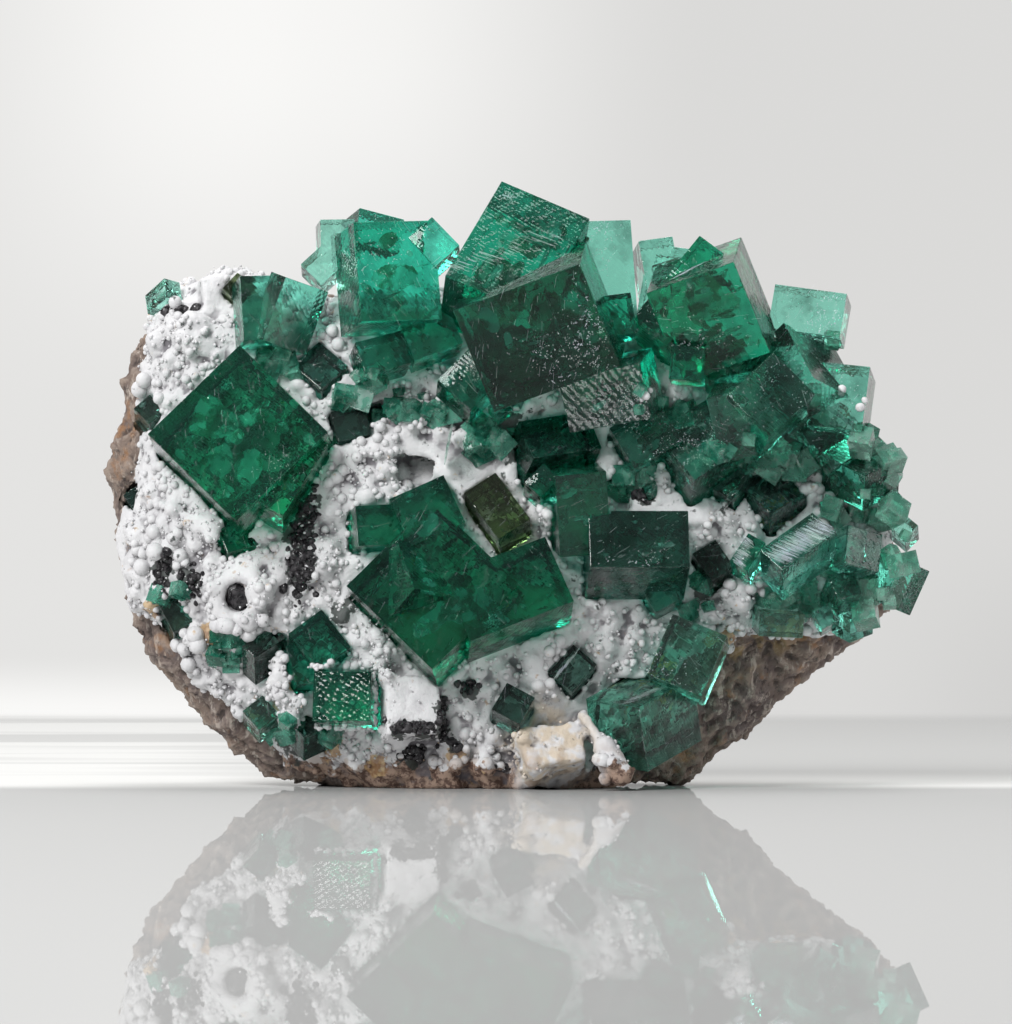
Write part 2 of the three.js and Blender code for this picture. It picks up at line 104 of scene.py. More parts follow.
# Each crystal node: its kind and its slot.
CRYSTALS = {
    "crystal_left_large": ("leaf", "deep_green"),
    "crystals_crown": ("emerald", "deep_green"),
    "crystals_left_crown": ("bright", "bright_green"),
    "crystals_upper_right": ("deep", "deep_green"),
    "crystals_twinned": ("light", "bright_green"),
    "crystals_right_pale": ("pale", "pale_green"),
    "crystals_cloudy": ("light", "smoky_green"),
    "crystal_back_tall": ("pale", "pale_green"),
    "crystal_back_rough": ("pale", "pale_green"),
    "crystals_left_pale": ("pale", "pale_green"),
    "crystal_teal": ("teal", "bright_green"),
    "crystals_lower_cluster": ("deep", "deep_green"),
    "crystal_brown": ("olive", "smoky_green"),
    "crystal_pillar": ("deep", "deep_green"),
    "crystal_square": ("grey", "smoky_green"),
    "crystals_lower_right": ("pale", "bright_green"),
    "crystals_lilac": ("light", "bright_green"),
    "crystal_lilac_small": ("deep", "deep_green"),
    "crystal_right_edge": ("teal", "pale_green"),
    "crystals_right_low": ("light", "bright_green"),
    "crystal_right_tip": ("teal", "pale_green"),
    "crystal_framed": ("deep", "deep_green"),
    "crystals_lower_left": ("deep", "deep_green"),
    "crystal_dark_sliver": ("smoky", "smoky_green"),
    "crystals_under_twins": ("grey", "smoky_green"),
    "crystal_right_cloudy": ("light", "smoky_green"),
    "crystal_striated": ("smoky", "smoky_green"),
    "crystal_slate": ("smoky", "smoky_green"),
    "crystal_grey_green": ("grey", "smoky_green"),
    "crystal_in_socket": ("smoky", "smoky_green"),
    "crystal_right_dark": ("smoky", "smoky_green"),
    "crystal_ledge_pale": ("pale", "pale_green"),
    "crystal_small_olive": ("olive", "smoky_green"),
    "crystal_small_top": ("pale", "pale_green"),
    "crystal_small_left": ("pale", "pale_green"),
    "crystal_small_rim": ("grey", "smoky_green"),
    "crystal_small_aqua": ("pale", "pale_green"),
    "crystal_small_round": ("pale", "pale_green"),
    "crystal_small_low": ("grey", "smoky_green"),
    "crystal_small_edge": ("pale", "pale_green"),
    "crystal_small_corner": ("pale", "pale_green"),
}
# Colours of the finishes. Two colours in a row are the ends of a mix.
# Tint that the faces painted dark are mixed towards, as painted shade.
PAINTED_DARK_TINT = (0.01, 0.08, 0.05)
# Root colours. The near-black colour is painted shade and the pure white colour is painted glints; the
# others are the roots' own colours.
ROOT = {
    "dull": (0.10, 0.16, 0.13), "cloudy": (0.80, 0.88, 0.84), "hollow": (0.02, 0.045, 0.035),
    "painted_glint": (1.0, 1.0, 1.0), "crack": (0.92, 1.0, 0.96), "ochre": (0.75, 0.50, 0.16),
}
MARK_SHADES = ((0.72, 0.84, 0.82), (0.80, 0.84, 0.94))
SHARD_SHADES = ((0.04, 0.40, 0.26), (0.80, 1.0, 0.92))
VEIL_SHADES = ((0.55, 0.92, 0.80), (0.85, 0.95, 0.97))
SMALL_SHADES = ((0.04, 0.30, 0.20), (0.22, 0.70, 0.52))
SMALL_RIGHT_SHADES = ((0.24, 0.70, 0.52), (0.62, 0.92, 0.80))
SMALL_FROST = (0.50, 0.78, 0.66)
# Crust colours. The crease colour is painted shade in the creases, and the dark colour is painted shade in
# the gaps between the crystals and in recesses; the others are the crust's own colours.
CRUST = {
    "grey": (0.50, 0.49, 0.51), "cream": (0.66, 0.53, 0.37), "rust": (0.36, 0.24, 0.16),
    "painted_crease_shade": (0.13, 0.12, 0.135), "dark": (0.035, 0.045, 0.04), "dirt": (0.16, 0.14, 0.14),
}
STONE_SHADES = ((0.10, 0.055, 0.04), (0.36, 0.25, 0.19))
OCHRE_SHADES = ((0.30, 0.15, 0.06), (0.58, 0.40, 0.20))
# Rock colours. The crease colour is painted shade in the creases and the ridge colour is a painted highlight
# on the ridges; the others are the rock's own colours.
ROCK = {
    "light": (0.24, 0.18, 0.145), "pale": (0.56, 0.49, 0.43), "dark": (0.05, 0.04, 0.038),
    "rust": (0.36, 0.17, 0.06), "ochre": (0.36, 0.24, 0.07), "painted_crease_shade": (0.035, 0.027, 0.025),
    "painted_ridge_highlight": (0.46, 0.38, 0.32),
}
BLACK_SHADES = ((0.010, 0.009, 0.011), (0.05, 0.046, 0.05))
# Floor colours, dark to light; the floor's painted light mixes between them.
FLOOR_SHADES = ((0.49, 0.49, 0.485), (0.92, 0.92, 0.90))

# Places are given in millimetres on the middle plane, across and up, as the camera sees them.
# Faces with a satin finish: place, and how satin.
SATIN_FACES = [
    ((26.9, 76.4), 1.0), ((35.2, 73.7), 0.9), ((27.6, 66.1), 0.8), ((-6.7, 76.9), 0.9), ((-11.1, 28.2), 1.0),
    ((35.6, 64.2), 0.7), ((43.7, 64.2), 0.8), ((41.5, 70.8), 0.7), ((25.4, 50.4), 0.6), ((33.0, 32.9), 1.0),
    ((20.3, 13.9), 1.0), ((25.4, 19.7), 0.5), ((-20.4, 13.9), 0.5), ((-1.6, 7.3), 1.0), ((7.2, 17.5), 0.8),
]
# Faces whose tint is painted dark as painted shade, so that they let less light through: place, and how much
# less.
PAINTED_DARK_FACES = [
    ((5.0, 66.0), 0.6), ((38.0, 66.0), 0.3), ((30.0, 62.0), 0.35), ((-28.0, 62.0), 0.2), ((-4.0, 24.0), 0.3),
    ((-16.0, 22.0), 0.3), ((14.0, 39.0), 0.3), ((-25.0, 62.5), 0.6),
]
# Striated faces: first line's across and up, last line's, lean in degrees, lines, half length.
STRIATED = [
    (-9.0, 75.4, 6.0, 80.6, -26, 44, 1.9),
    (37.5, 33.0, 46.0, 38.5, -35, 420, 1.5),
    (38.5, 37.0, 44.0, 40.0, -35, 200, 1.3),
    (31.5, 30.0, 34.0, 36.0, -40, 200, 0.9),
    (24.0, 74.5, 29.5, 77.5, 30, 90, 1.3),
    (5.5, 15.5, 9.0, 19.5, 60, 110, 1.0),
    (16.0, 12.0, 25.0, 16.0, 32, 120, 1.4),
    (34.5, 76.0, 36.0, 71.0, -60, 90, 1.2),
]
# Frosted places on faces: middle across and up, half width, half height, grains.
FROSTED = [
    (10.6, 66.4, 2.6, 5.5, 700), (7.2, 62.6, 7.0, 3.6, 800), (-1.0, 86.0, 1.0, 0.7, 120),
    (26.0, 65.0, 7.0, 2.4, 300), (44.0, 58.0, 4.5, 6.0, 500), (46.0, 68.0, 4.0, 4.0, 600),
    (-34.0, 46.5, 4.0, 3.0, 160), (18.0, 32.0, 5.0, 3.0, 300), (-20.0, 78.0, 4.0, 5.0, 300),
    (20.0, 16.0, 5.0, 5.0, 600), (-52.0, 60.0, 2.0, 2.0, 200), (25.0, 50.0, 5.0, 4.0, 700),
    (52.0, 45.0, 3.0, 4.0, 300), (57.0, 30.0, 3.0, 3.0, 200), (12.0, 80.0, 3.0, 6.0, 500),
    (-43.0, 72.0, 4.0, 4.0, 260), (17.0, 54.0, 4.0, 3.0, 400), (33.0, 56.0, 5.0, 5.0, 300),
]
# Small crystals between the large ones: middle across and up, half width, half height, crystals,
# largest half width.
SMALL_CRYSTALS = [
    (22.2, 51.5, 3.5, 4.0, 26, 2.0), (32.0, 49.6, 5.0, 3.0, 26, 2.0), (41.5, 48.2, 6.0, 2.5, 26, 2.0),
    (15.2, 56.2, 3.0, 3.0, 16, 1.8), (48.8, 41.6, 3.5, 3.0, 18, 1.6), (40.0, 27.0, 5.0, 2.5, 20, 1.5),
    (50.0, 28.5, 5.0, 4.0, 34, 1.7), (26.9, 28.5, 1.6, 3.0, 10, 1.4), (-17.7, 55.5, 8.0, 2.0, 20, 1.6),
    (-0.9, 50.0, 6.0, 2.2, 20, 1.8), (6.4, 44.5, 4.0, 1.6, 12, 1.4), (18.0, 44.5, 4.0, 1.6, 12, 1.4),
    (-41.8, 19.7, 3.0, 2.4, 14, 1.4), (-50.5, 27.0, 2.4, 2.0, 12, 1.3), (-31.5, 8.0, 5.0, 1.8, 20, 1.4),
    (30.0, 62.0, 4.0, 3.0, 20, 1.8), (-34.0, 62.0, 3.0, 2.0, 8, 1.4), (46.5, 47.0, 4.0, 2.0, 14, 1.6),
]
# Small crystals that sit on the large ones, in the same way.
ON_CRYSTALS = [
    (51.7, 51.8, 3.0, 5.0, 5, 1.9), (54.0, 44.0, 3.0, 4.0, 6, 1.9), (56.0, 36.0, 2.5, 4.0, 7, 1.8),
    (47.0, 62.0, 3.0, 3.0, 3, 1.6), (30.0, 52.0, 6.0, 4.0, 4, 1.8), (52.0, 27.0, 4.0, 3.0, 7, 1.7),
    (-18.0, 60.0, 7.0, 2.0, 5, 1.5), (18.0, 56.0, 4.0, 2.0, 3, 1.5),
]
# Rusty places of the crust: middle across and up, reach.
RUSTY_PLACES = [
    (-27.0, 6.0, 3.0), (-8.5, 4.8, 2.4), (-36.5, 10.5, 3.4), (-20.0, 3.5, 2.6), (30.0, 21.0, 4.0),
    (-44.5, 22.0, 3.0), (-31.5, 15.0, 1.6), (-52.0, 26.0, 2.4), (38.0, 24.0, 4.0), (-53.5, 70.0, 2.5),
]
# Places of the crust painted near-black as painted shade, in the gaps between the crystals and in the
# recesses that hold black grains: middle across and up, reach.
PAINTED_SHADE_PLACES = [
    (22.2, 51.5, 5.0), (32.0, 49.6, 5.5), (41.5, 48.8, 5.5), (15.2, 56.2, 5.0), (-0.9, 50.5, 5.0),
    (-31.0, 41.0, 3.6), (-31.0, 36.5, 3.2), (-31.5, 32.0, 3.4), (-51.5, 31.5, 2.6), (-47.0, 29.5, 2.8),
    (-17.0, 8.2, 1.8), (-13.5, 8.2, 1.8), (-10.8, 12.0, 1.6), (-10.8, 8.5, 1.9), (-14.9, 4.7, 2.6),
    (-8.9, 6.0, 1.4), (18.5, 42.5, 2.2), (-6.5, 14.0, 2.0), (26.9, 28.5, 3.0),
    (-31.5, 7.0, 4.0), (30.0, 62.0, 5.0), (47.0, 48.0, 4.0), (-25.0, 25.5, 2.6), (50.0, 29.0, 4.5),
]
# Crevices with black grains: middle across and up, half width, half height, grains.
BLACK_CREVICES = [
    (-31.0, 41.0, 2.0, 4.0, 110),
    (-31.5, 33.0, 2.2, 5.0, 130),
    (-51.5, 31.5, 1.4, 3.0, 34),
    (-47.0, 29.5, 1.6, 2.6, 34),
    (-15.0, 8.3, 3.2, 0.9, 40),
    (-10.8, 9.5, 0.6, 3.6, 34),
    (-14.9, 4.7, 1.6, 1.4, 34),
    (-8.9, 6.0, 0.8, 0.7, 8),
    (-2.0, 2.6, 1.0, 0.5, 8),
    (-50.0, 69.5, 3.0, 0.8, 24),
    (18.5, 42.5, 1.6, 1.0, 24),
    (-6.5, 14.0, 1.4, 1.0, 16),
]
# White beads that sit on crystal faces: across, up, radius.
BEADS = [
    (47.6, 57.8, 0.75), (50.2, 55.2, 0.7), (50.9, 56.2, 0.5), (18.9, 56.8, 0.65), (19.6, 57.6, 0.45),
    (18.3, 56.2, 0.4), (49.0, 50.0, 0.6),
]
# The round pit of the crust that holds a black grain: across, up.
VUG = (-40.3, 27.5)
# White rim of the framed crystal: from, to, thickness.
CRYSTAL_FRAME = [
    ((-30.2, 17.2), (-21.0, 17.2), 0.5), ((-20.6, 17.2), (-20.6, 8.4), 0.6),
    ((-20.6, 8.2), (-29.4, 8.4), 0.7), ((-27.5, 17.4), (-21.5, 17.6), 1.0),
]
# Smooth places of the crust, which carry no knobs, such as coated blocks and the imprints of lost
# crystals: across, up, radius.
SMOOTH_PLACES = [
    (-14.5, 12.0, 5.5), (6.5, 7.5, 5.5), (-6.0, 45.0, 4.5), (20.0, 40.5, 3.0), (25.0, 40.5, 3.0),
    (-13.0, 47.0, 4.0), (-21.0, 56.5, 4.0), (-44.5, 71.0, 3.5), (-40.3, 27.5, 3.0),
]
# Soft lamps beside the main one: name, power, size and place, in metres.
LAMPS = [("top", 3.5, 0.5, (0.05, 0.05, 0.85)), ("side", 1.6, 0.4, (0.85, -0.45, 0.25))]
KEY_PLACE = (-0.55, -0.75, 0.7)
LAMP_TARGET = (0.0, 0.0, 0.04)
WORLD_LIGHT = 0.14
FLOOR_GLOSS = 0.36
BOUNCES = {
    "max_bounces": 6, "transmission_bounces": 6, "glossy_bounces": 2, "diffuse_bounces": 1,
}


class CrystalSizes(bpy.types.PropertyGroup):
    """Sizes of the crystals' finish."""

    edge: FloatProperty(
        name="Edge", description="Width of the broken edge", default=0.14 * MM, unit="LENGTH"
    )
    clear: FloatProperty(
        name="Clearness", description="Share of light let through", default=0.97, subtype="FACTOR"
    )
    veils: IntProperty(name="Veils", description="Healed cracks tried inside the crystals", default=300)
    shards: IntProperty(name="Shards", description="Flat cracks tried inside the crystals", default=2600)


class RockSizes(bpy.types.PropertyGroup):
    """Sizes and colours of the host rock."""

    cell: FloatProperty(
        name="Cell", description="Size of the fine mesh", default=0.55 * MM, unit="LENGTH"
    )
    relief: FloatProperty(
        name="Relief", description="Height of the broken surface", default=1.5 * MM, unit="LENGTH"
    )
    colour: FloatVectorProperty(
        name="Colour", description="Most of the rock", default=(0.13, 0.10, 0.095), subtype="COLOR"
    )


class CrustSizes(bpy.types.PropertyGroup):
    """Sizes and colours of the white crust."""

    cell: FloatProperty(
        name="Cell", description="Size of the fine mesh", default=0.54 * MM, unit="LENGTH"
    )
    relief: FloatProperty(
        name="Relief", description="Height of its sugary grain", default=0.28 * MM, unit="LENGTH"
    )
    knobs: IntProperty(name="Knobs", description="Round knobs that the crust is made of", default=900)
    globules: IntProperty(name="Globules", description="Globules that cover it", default=3700)
    grains: IntProperty(name="Grains", description="Sugary grains on the globules", default=7000)
    colour: FloatVectorProperty(
        name="Colour", description="Most of the crust", default=(0.735, 0.73, 0.74), subtype="COLOR"
    )


class StageSizes(bpy.types.PropertyGroup):
    """Sizes of the camera's view and the light."""

    away: FloatProperty(
        name="Camera distance", description="From the middle plane", default=1.2, unit="LENGTH"
    )
    side: FloatProperty(
        name="Camera side", description="Across from the middle", default=-1.46 * MM, unit="LENGTH"
    )
    height: FloatProperty(
        name="Camera height", description="Above the floor", default=39.86 * MM, unit="LENGTH"
    )
    lens: FloatProperty(name="Lens", description="Focal length in millimetres", default=289.0)
    key: FloatProperty(name="Key light", description="Power of the main lamp", default=12.0, subtype="POWER")


# Meshes


def new_piece(name, mesh, material, *nodes, slot=None):
    """A finished piece that rides on the body and stands for the nodes."""
    piece = bpy.data.objects.new(name, mesh)
    bpy.context.scene.collection.objects.link(piece)
    mesh.materials.clear()
    mesh.materials.append(material)
    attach(piece, BODY)
    if nodes:
        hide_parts(*nodes)
    return piece


def merged(node):
    """A CAD node's solid with its faces joined, as a bmesh."""
    bm = bmesh.new()
    bm.from_mesh(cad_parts[node].data)
    bmesh.ops.remove_doubles(bm, verts=bm.verts, dist=WELD)
    return bm


def finished_mesh(bm, name):
    """Turns a bmesh into a mesh and frees it."""
    mesh = bpy.data.meshes.new(name)
    bm.to_mesh(mesh)
    bm.free()
    return mesh


def evaluated(holder):
    """The holder's mesh with its modifiers applied. The holder goes."""
    graph = bpy.context.evaluated_depsgraph_get()
    mesh = bpy.data.meshes.new_from_object(holder.evaluated_get(graph), depsgraph=graph)
    old = holder.data
    bpy.data.objects.remove(holder)
    bpy.data.meshes.remove(old)
    return mesh


def held(bm, name="holder"):
    """An object that holds a bmesh while modifiers work on it."""
    holder = bpy.data.objects.new(name, finished_mesh(bm, name))
    bpy.context.scene.collection.objects.link(holder)
    return holder


def fused(holder, cell):
    """The holder's mesh as one fine, even skin. The holder goes."""
    remesh = holder.modifiers.new("even", "REMESH")
    remesh.mode = "VOXEL"
    remesh.voxel_size = cell
    bpy.context.view_layer.update()
    return evaluated(holder)


def crystal_tree(with_owners=False):
    """All crystals as one tree for distances and ray casts, and each of its faces' node if asked."""
    points, faces, owners = [], [], []
    for node in CRYSTALS:
        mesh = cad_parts[node].data
        start = len(points)
        points += [v.co.copy() for v in mesh.vertices]
        faces += [[start + i for i in p.vertices] for p in mesh.polygons]
        owners += [node] * len(mesh.polygons)
    tree = BVHTree.FromPolygons(points, faces)
    return (tree, owners) if with_owners else tree


# Materials


class Nodes:
    """Builds a material's node tree around its main shader."""

    def __init__(self, name):
        self.material = bpy.data.materials.new(name)
        self.material.use_nodes = True
        self.tree = self.material.node_tree
        self.tree.nodes.clear()
        self.out = self.tree.nodes.new("ShaderNodeOutputMaterial")
        self.shader = self.tree.nodes.new("ShaderNodeBsdfPrincipled")
        self.tree.links.new(self.shader.outputs[0], self.out.inputs["Surface"])
        self.place = self.tree.nodes.new("ShaderNodeTexCoord").outputs["Object"]

    def put(self, socket, value):
        """Links a socket or sets a value."""
        if isinstance(value, bpy.types.NodeSocket):
            self.tree.links.new(value, socket)
        else:
            socket.default_value = value

    def add(self, kind, **inputs):
        """A node of a kind with inputs given by name, their spaces as underscores."""
        node = self.tree.nodes.new(kind)
        for name, value in inputs.items():
            self.put(node.inputs[name.replace("_", " ")], value)
        return node

    def noise(self, size, detail=2.0, roughness=0.55, distortion=0.0, place=None):
        """Cloudy noise with features of a size in metres."""
        node = self.add("ShaderNodeTexNoise", Vector=place or self.place, Scale=1 / size, Detail=detail)
        node.inputs["Roughness"].default_value = roughness
        node.inputs["Distortion"].default_value = distortion
        return node.outputs["Fac"]

    def stretched(self, share):
        """The place with its lean direction pressed together, for streaks."""
        node = self.tree.nodes.new("ShaderNodeMapping")
        node.inputs["Rotation"].default_value = (0.6, 0.5, 0.7)
        node.inputs["Scale"].default_value = (1.0, 1.0, share)
        self.tree.links.new(self.place, node.inputs["Vector"])
        return node.outputs["Vector"]

    def cells(self, size, feature="F1"):
        """Distance in cells of a size in metres."""
        node = self.add("ShaderNodeTexVoronoi", Vector=self.place, Scale=1 / size)
        node.feature = feature
        return node.outputs["Distance"]

    def attribute(self, name):
        """A number that the mesh holds for each face or each point."""
        node = self.tree.nodes.new("ShaderNodeAttribute")
        node.attribute_name = name
        return node.outputs["Fac"]

    def span(self, value, low, high, to_low=0.0, to_high=1.0):
        """The value stretched from one span to another, without leaving it."""
        node = self.tree.nodes.new("ShaderNodeMapRange")
        node.interpolation_type = "SMOOTHSTEP"
        self.put(node.inputs["Value"], value)
        limits = {"From Min": low, "From Max": high, "To Min": to_low, "To Max": to_high}
        for name, number in limits.items():
            self.put(node.inputs[name], number)
        return node.outputs["Result"]

    def math(self, operation, first, second=0.0):
        """One step of arithmetic."""
        node = self.tree.nodes.new("ShaderNodeMath")
        node.operation = operation
        self.put(node.inputs[0], first)
        self.put(node.inputs[1], second)
        return node.outputs[0]

    def mix(self, share, first, second):
        """Two colours mixed by a share."""
        node = self.tree.nodes.new("ShaderNodeMix")
        node.data_type = "RGBA"
        self.put(node.inputs["Factor"], share)
        for socket, colour in ((node.inputs[6], first), (node.inputs[7], second)):
            self.put(socket, colour if isinstance(colour, bpy.types.NodeSocket) else (*colour, 1.0))
        return node.outputs[2]

    def mix_shaders(self, share, first, second):
        """Two shaders mixed by a share."""
        node = self.tree.nodes.new("ShaderNodeMixShader")
        for socket, value in zip(node.inputs, (share, first, second)):
            self.put(socket, value)
        return node.outputs[0]

    def bump(self, height, distance):
        """A normal bent by a height that stands for a distance in metres."""
        return self.add("ShaderNodeBump", Height=height, Distance=distance).outputs["Normal"]

    def near(self, point, reach, soft=0.5):
        """1 near a point, falling to 0 at a reach, both in metres."""
        node = self.tree.nodes.new("ShaderNodeVectorMath")
        node.operation = "DISTANCE"
        self.put(node.inputs[0], self.place)
        node.inputs[1].default_value = point
        return self.span(node.outputs["Value"], reach * (1 - soft), reach, 1.0, 0.0)


def crystal_material(kind):
    """Clear green fluorite: clear and satin faces, faces painted dark as painted shade, cloudy zones and
    fine growth lines.
    """
    look = KINDS[kind]
    sizes = bpy.context.scene.fluorite_crystals
    n = Nodes("fluorite_" + kind)
    clouds = n.noise(5 * MM, 3, 0.62)
    dim = tuple(0.55 * c for c in look["tint"])
    shade = n.mix(n.span(clouds, 0.52, 0.36), look["tint"], dim)
    # Painted shade: the listed faces get their tint mixed towards a near-black green.
    n.put(n.shader.inputs["Base Color"], n.mix(n.attribute("dim"), shade, PAINTED_DARK_TINT))
    scratches = n.span(n.noise(1.2 * MM, 3, 0.7, 0.0, n.stretched(0.16)), 0.60, 0.68, 0.0, 0.22)
    rough = n.math("ADD", scratches, n.math("MULTIPLY", n.attribute("satin"), 0.07))
    n.put(n.shader.inputs["Roughness"], rough)
    lines = n.tree.nodes.new("ShaderNodeTexWave")
    n.put(lines.inputs["Vector"], n.place)
    lines.bands_direction = "DIAGONAL"
    lines.inputs["Scale"].default_value = 1 / (1.6 * MM)
    lines.inputs["Distortion"].default_value = 1.2
    lines.inputs["Detail"].default_value = 1.0
    height = n.math("ADD", n.noise(1.7 * MM, 2, 0.6), n.math("MULTIPLY", lines.outputs["Fac"], 0.12))
    n.put(n.shader.inputs["Normal"], n.bump(height, 0.10 * MM))
    n.shader.inputs["IOR"].default_value = FLUORITE_IOR
    n.shader.inputs["Transmission Weight"].default_value = sizes.clear
    inside = n.tree.nodes.new("ShaderNodeVolumeAbsorption")
    inside.inputs["Color"].default_value = (*look["keeps"], 1.0)
    inside.inputs["Density"].default_value = look["density"]
    n.tree.links.new(inside.outputs[0], n.out.inputs["Volume"])
    return n.material


def root_material():
    """Cloudy roots of the crystals: bright and dark places, with painted dark shade and painted white
    glints, ochre and sharp cracks.
    """
    n = Nodes("crystal_root")
    broad = n.noise(4.5 * MM, 3, 0.66, 0.8)
    shade = n.mix(n.span(broad, 0.42, 0.58), ROOT["dull"], ROOT["cloudy"])
    # Painted shade: near-black patches.
    shade = n.mix(n.span(n.noise(1.5 * MM, 3, 0.72), 0.46, 0.36), shade, ROOT["hollow"])
    # Painted glints: pure white spots.
    painted_glint = n.math("MULTIPLY", n.span(n.cells(2.2 * MM), 0.22, 0.12), n.span(broad, 0.45, 0.6))
    shade = n.mix(painted_glint, shade, ROOT["painted_glint"])
    cracks = n.span(n.cells(3.4 * MM, "DISTANCE_TO_EDGE"), 0.05, 0.012)
    shade = n.mix(n.math("MULTIPLY", cracks, 0.8), shade, ROOT["crack"])
    broken = n.span(n.noise(1.5 * MM, 3), 0.45, 0.6)
    ochre = n.math("MULTIPLY", n.span(n.noise(6 * MM, 3), 0.60, 0.70), broken)
    shade = n.mix(ochre, shade, ROOT["ochre"])
    n.put(n.shader.inputs["Base Color"], shade)
    n.shader.inputs["Roughness"].default_value = 0.5
    return n.material


def flake_material(name, size, shades):
    """Thin pale flakes, on the crystals' faces or in the healed cracks inside them."""
    n = Nodes(name)
    n.put(n.shader.inputs["Base Color"], n.mix(n.span(n.noise(size), 0.4, 0.6), *shades))
    n.shader.inputs["Roughness"].default_value = 0.5
    n.shader.inputs["IOR"].default_value = 1.1
    n.shader.inputs["Transmission Weight"].default_value = 0.5
    return n.material


def shard_material():
    """Flat inner cracks and growth planes of the crystals."""
    n = Nodes("crystal_shards")
    shade = n.mix(n.span(n.noise(3 * MM, 2), 0.42, 0.56), *SHARD_SHADES)
    n.put(n.shader.inputs["Base Color"], shade)
    n.put(n.shader.inputs["Roughness"], n.span(n.noise(2 * MM), 0.4, 0.7, 0.05, 0.3))
    n.shader.inputs["IOR"].default_value = 1.25
    n.shader.inputs["Transmission Weight"].default_value = 0.72
    return n.material


def small_crystal_material():
    """Small crystals, too small to see into, from black-green to light green."""
    n = Nodes("small_crystals")
    shade = n.mix(n.span(n.noise(3 * MM, 2), 0.40, 0.60), *SMALL_SHADES)
    across = n.add("ShaderNodeSeparateXYZ", Vector=n.place).outputs["X"]
    lighter = n.mix(n.span(n.noise(4 * MM, 3), 0.4, 0.6), *SMALL_RIGHT_SHADES)
    shade = n.mix(n.span(across, 28 * MM, 52 * MM, 0.0, 0.75), shade, lighter)
    shade = n.mix(n.span(n.noise(1.0 * MM, 4, 0.7), 0.54, 0.66), shade, SMALL_FROST)
    n.put(n.shader.inputs["Base Color"], shade)
    n.put(n.shader.inputs["Roughness"], n.span(n.noise(1.5 * MM), 0.4, 0.6, 0.04, 0.3))
    n.shader.inputs["IOR"].default_value = FLUORITE_IOR
    n.shader.inputs["Transmission Weight"].default_value = 0.7
    return n.material


def crust_material():
    """White crust: matt and sugary, with painted grey shade in its creases and painted near-black shade in
    the gaps between the crystals, and cream, grey and rusty places.
    """
    colour = tuple(bpy.context.scene.fluorite_crust.colour)
    n = Nodes("white_crust")
    grey = n.span(n.noise(3.2 * MM, 3, 0.6), 0.46, 0.68)
    shade = n.mix(n.math("MULTIPLY", grey, 0.34), colour, CRUST["grey"])
    cream = n.math("MULTIPLY", n.near(mm(4.5, -22, 6.5), 9 * MM), n.span(n.noise(2 * MM), 0.35, 0.6))
    shade = n.mix(n.math("MULTIPLY", cream, 0.75), shade, CRUST["cream"])
    low = n.add("ShaderNodeSeparateXYZ", Vector=n.place).outputs["Z"]
    foot = n.span(low, 0.5 * MM, 9 * MM, 1.0, 0.0)
    rust = n.math("MULTIPLY", foot, n.span(n.noise(2.6 * MM), 0.5, 0.62))
    shade = n.mix(n.math("MULTIPLY", rust, 0.7), shade, CRUST["rust"])
    ragged = n.span(n.noise(3 * MM, 3, 0.6), 0.3, 0.7, -0.4, 0.4)
    rim = n.math("ADD", n.span(low, 1.0 * MM, 6.0 * MM, 1.0, 0.0), ragged)
    stone = n.mix(n.span(n.noise(1.2 * MM, 3, 0.7), 0.42, 0.58), *STONE_SHADES)
    away = n.math("SUBTRACT", 1.0, n.near(mm(6, -22, 3), 9 * MM))
    shade = n.mix(n.math("MULTIPLY", n.span(rim, 0.45, 0.6), away), shade, stone)
    # Painted shade: the crust is darkened towards grey in its creases, by how far each point lies below its
    # surroundings.
    uneven = n.span(n.noise(5 * MM), 0.35, 0.55, 0.4, 1.0)
    deep = n.math("MULTIPLY", n.span(n.attribute("deep"), 0.03, 0.26), uneven)
    shade = n.mix(n.math("MULTIPLY", deep, 0.9), shade, CRUST["painted_crease_shade"])
    ragged = n.span(n.noise(1.8 * MM, 3, 0.65), 0.2, 0.8, -0.4, 0.4)
    rusty = n.math("ADD", n.attribute("rusty"), ragged)
    ochre = n.mix(n.span(n.noise(1.3 * MM), 0.4, 0.6), *OCHRE_SHADES)
    shade = n.mix(n.math("MULTIPLY", n.span(rusty, 0.25, 0.45), 0.85), shade, ochre)
    # Painted shade: near-black in the gaps between the crystals and in the recesses listed as shaded places.
    ragged = n.span(n.noise(2.2 * MM, 3, 0.65), 0.2, 0.8, -0.45, 0.45)
    gap = n.span(n.math("ADD", n.attribute("dark"), ragged), 0.28, 0.42)
    shade = n.mix(n.math("MULTIPLY", gap, 0.92), shade, CRUST["dark"])
    specks = n.span(n.cells(2.4 * MM), 0.03, 0.10, 1.0, 0.0)
    dirty = n.math("MULTIPLY", specks, n.span(n.noise(6 * MM), 0.48, 0.6))
    shade = n.mix(n.math("MULTIPLY", dirty, 0.7), shade, CRUST["dirt"])
    n.put(n.shader.inputs["Base Color"], shade)
    n.shader.inputs["Roughness"].default_value = 0.62
    n.put(n.shader.inputs["Normal"], n.bump(n.noise(0.5 * MM, 3), 0.12 * MM))
    return n.material


